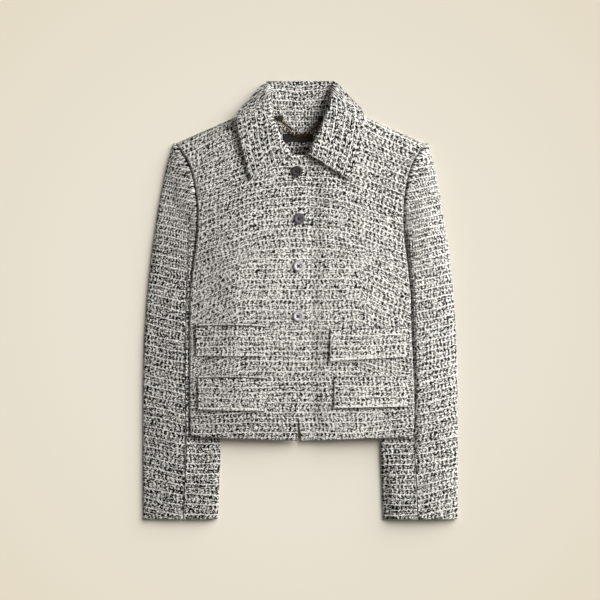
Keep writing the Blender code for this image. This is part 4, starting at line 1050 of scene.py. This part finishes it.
# Twisted thread: a tight diagonal twist in two close tones, dark navy cotton or pale ecru silk.
TWIST = 0.4             # its real size, seen only in close views
twisted = {}
for name, deep, bright in (("navy_cotton_thread", "#0c0c15", "#1e1d29"),
                           ("ecru_silk_twist", "#d8d4c8", "#f4f1e8")):
    twisted[name], tree, shader = new_material(name, {"Roughness": 0.55, "Sheen Weight": 0.2})
    twist = add(tree, "ShaderNodeTexWave", {
        "Vector": add(tree, "ShaderNodeTexCoord").outputs["Object"],
        "Scale": WAVE / (TWIST * MM), "Distortion": 1.0}, bands_direction="DIAGONAL")
    tone = add(tree, "ShaderNodeMix", {
        0: twist.outputs["Fac"], 6: linear(deep), 7: linear(bright)}, data_type="RGBA")
    tree.links.new(tone.outputs[2], shader.inputs["Base Color"])

# Each strand of a cross comes up one hole, lies over the middle and goes down the hole opposite.
cross, given, result = new_group("button_thread", ["Strand"])
half_strand = add(cross, "ShaderNodeMath", {0: given["Strand"], 1: 0.5}, operation="MULTIPLY")
outline = add(cross, "GeometryNodeCurvePrimitiveCircle", {
    "Resolution": STRAND_SIDES, "Radius": half_strand})
strand = add(cross, "GeometryNodeCurveToMesh", {
    "Curve": given["Geometry"], "Profile Curve": outline, "Fill Caps": True})
end_group(cross, result, strand, twisted["navy_cotton_thread"])

paths, slits = [], []
s = np.linspace(-1.0, 1.0, STRAND_POINTS)
around = np.linspace(0.0, math.tau, SLIT_POINTS, endpoint=False)
for number in range(1, len(BUTTON_COLOURS) + 1):
    low, high = (np.array(corner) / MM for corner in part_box(f"button_{number}"))
    middle, web = mix(low, high, 0.5), mix(low[2], high[2], WEB_AT)
    for turn, crossing in ((math.pi / 4, 0.0), (3 * math.pi / 4, 1.0)):
        lengthwise = np.array([math.cos(turn), math.sin(turn)])
        sideways = np.array([-lengthwise[1], lengthwise[0]])
        out = np.clip(STRAND_TAUT * s, -1.0, 1.0)[:, None] * lengthwise * HOLE_PITCH / math.sqrt(2)
        rise = STRAND * STRAND_RISE * (1.0 + crossing * (1.0 - s ** 2))
        z = web + rise - HOLE_DEEP * ease(*STRAND_DIP, np.abs(s))
        for k in range(STRANDS):
            spread = (k - (STRANDS - 1) / 2) * STRAND * STRANDS_APART
            spread = spread * (1.0 - STRANDS_CLOSE * s ** 2)[:, None]
            paths.append(np.column_stack([middle[:2] + out + sideways * spread, z]))
    x = middle[0] + np.interp(np.cos(around), [-1.0, 1.0], SLIT)
    y = middle[1] + 0.5 * SILK_LENGTH * np.clip(SLIT_SQUARE * np.sin(around), -1.0, 1.0)
    slits.append(np.column_stack([x, y, height_on(fronts[RIGHT], x, y) + SLIT_LIFT]))
repeat_along("button_thread_crosses", paths, cross, {"Strand": STRAND})

# A worked edge: short silk stitches side by side all round the slit, each square to it.
satin, given, result = new_group("worked_buttonhole", ["Pitch", "Length", "Thread"])
closed = add(satin, "GeometryNodeSetSplineCyclic", {"Geometry": given["Geometry"], "Cyclic": True})
places = add(satin, "GeometryNodeResampleCurve", {
    "Curve": closed, "Length": given["Pitch"]}, mode="LENGTH")
half_thread = add(satin, "ShaderNodeMath", {0: given["Thread"], 1: 0.5}, operation="MULTIPLY")
stitch = add(satin, "GeometryNodeMeshUVSphere", {
    "Segments": SILK_SIDES, "Rings": SILK_SIDES, "Radius": half_thread})
uneven = add(satin, "FunctionNodeRandomValue", {
    2: SILK_UNEVEN[0], 3: SILK_UNEVEN[1], "Seed": SILK_SEED}, data_type="FLOAT")
slender = add(satin, "ShaderNodeMath", {
    0: given["Length"], 1: given["Thread"]}, operation="DIVIDE")
longer = add(satin, "ShaderNodeMath", {
    0: slender, 1: uneven.outputs[1]}, operation="MULTIPLY")
stretch = add(satin, "ShaderNodeCombineXYZ", {"X": 1.0, "Y": longer, "Z": 1.0})
tangent = add(satin, "GeometryNodeInputTangent")
square = add(satin, "FunctionNodeAlignRotationToVector", {"Vector": tangent}, axis="X")
sewn = add(satin, "GeometryNodeInstanceOnPoints", {
    "Points": places, "Instance": stitch, "Rotation": square, "Scale": stretch})
end_group(satin, result, sewn, twisted["ecru_silk_twist"])
repeat_along("buttonhole_stitches", slits, satin, {
    "Pitch": SILK_PITCH, "Length": SILK_LENGTH, "Thread": SILK_WIDTH})


# The jacket lies on a smooth cream board. A wide sun lights the board and a large soft box lights
# the jacket, both from the upper right, with pale light all round; the camera looks straight down.
# Places and sizes are in metres here.
FLOOR_CORNERS = ((-6, -6, 0), (6, -6, 0), (6, 6, 0), (-6, 6, 0))
FLOOR_NEAR, FLOOR_FAR = 0.38, 0.70      # from the middle, where the board's edge tone comes in
SUN_AT, SUN_AIM, SUN_ANGLE, SUN_POWER = (0.9, 0.9, 0.72), (0.0, 0.0, 0.0), 60.0, 5.05
BOX_AT, BOX_AIM, BOX_SIZE, BOX_POWER = (1.5, 0.62, 1.05), (0.05, 0.0, 0.0), 1.1, 58.5
LAMP_COLOUR = (1.0, 0.985, 0.96)
ROOM_COLOUR, ROOM_LIGHT = (1.0, 0.96, 0.89, 1.0), 0.18
FRAME_WIDTH = 0.960     # what 600 pixels cover
CAMERA_HEIGHT = 4.0     # above the level that the frame's width is measured at
CAMERA_X, FRAME_LEVEL = -0.0008, 0.012

# Matt board: a plain cream with faint fibres and no shine, with painted shade that darkens
# and warms it a little away from the middle.
FIBRE, FIBRE_SHARE = 1 / 0.7, 0.06      # millimetres, coarser than real fibres so that they show
paper, tree, shader = new_material("matt_cream_board", {
    "Roughness": 0.9, "Specular IOR Level": 0.1})
place = add(tree, "ShaderNodeTexCoord").outputs["Object"]
away = add(tree, "ShaderNodeVectorMath", {0: place}, operation="LENGTH").outputs["Value"]
fibres = add(tree, "ShaderNodeTexNoise", {
    "Vector": place, "Scale": 1 / (FIBRE * MM), "Detail": 2.0})
uneven = add(tree, "ShaderNodeMath", {
    0: fibres, 1: FIBRE_SHARE, 2: away}, operation="MULTIPLY_ADD")
# painted shade toward the board's edges
painted_edge_shade = add(tree, "ShaderNodeMapRange", {
    "Value": uneven, "From Min": FLOOR_NEAR, "From Max": FLOOR_FAR})
board = add(tree, "ShaderNodeMix", {
    0: painted_edge_shade, 6: linear("#ece7da"), 7: linear("#e8e0ce")}, data_type="RGBA")
tree.links.new(board.outputs[2], shader.inputs["Base Color"])
floor_mesh = bpy.data.meshes.new("floor")
floor_mesh.from_pydata(FLOOR_CORNERS, [], [(0, 1, 2, 3)])
floor_mesh.materials.append(paper)
floor = put("floor", floor_mesh)

sun = bpy.data.lights.new("window", "SUN")
sun.energy = SUN_POWER
sun.angle = math.radians(SUN_ANGLE)
box = bpy.data.lights.new("soft_box", "AREA")
box.energy = BOX_POWER
box.size = BOX_SIZE
for lamp, at, aim, state in ((sun, SUN_AT, SUN_AIM, "INCLUDE"), (box, BOX_AT, BOX_AIM, "EXCLUDE")):
    lamp.color = LAMP_COLOUR
    stand = put(lamp.name, lamp)
    stand.location = at
    stand.rotation_euler = (Vector(at) - Vector(aim)).to_track_quat("Z", "Y").to_euler()
    lit = bpy.data.collections.new(f"{lamp.name}_floor")
    lit.objects.link(floor)
    lit.collection_objects[0].light_linking.link_state = state
    stand.light_linking.receiver_collection = lit
world = bpy.data.worlds.new("pale_room")
world.use_nodes = True
sky = world.node_tree.nodes["Background"].inputs
sky["Color"].default_value = ROOM_COLOUR
sky["Strength"].default_value = ROOM_LIGHT
bpy.context.scene.world = world
bpy.context.scene.view_settings.view_transform = "Standard"

eye = bpy.data.cameras.new("camera")
eye.lens = eye.sensor_width * CAMERA_HEIGHT / FRAME_WIDTH
camera = put("camera", eye)
camera.location = (CAMERA_X, 0.0, CAMERA_HEIGHT + FRAME_LEVEL)
bpy.context.scene.camera = camera
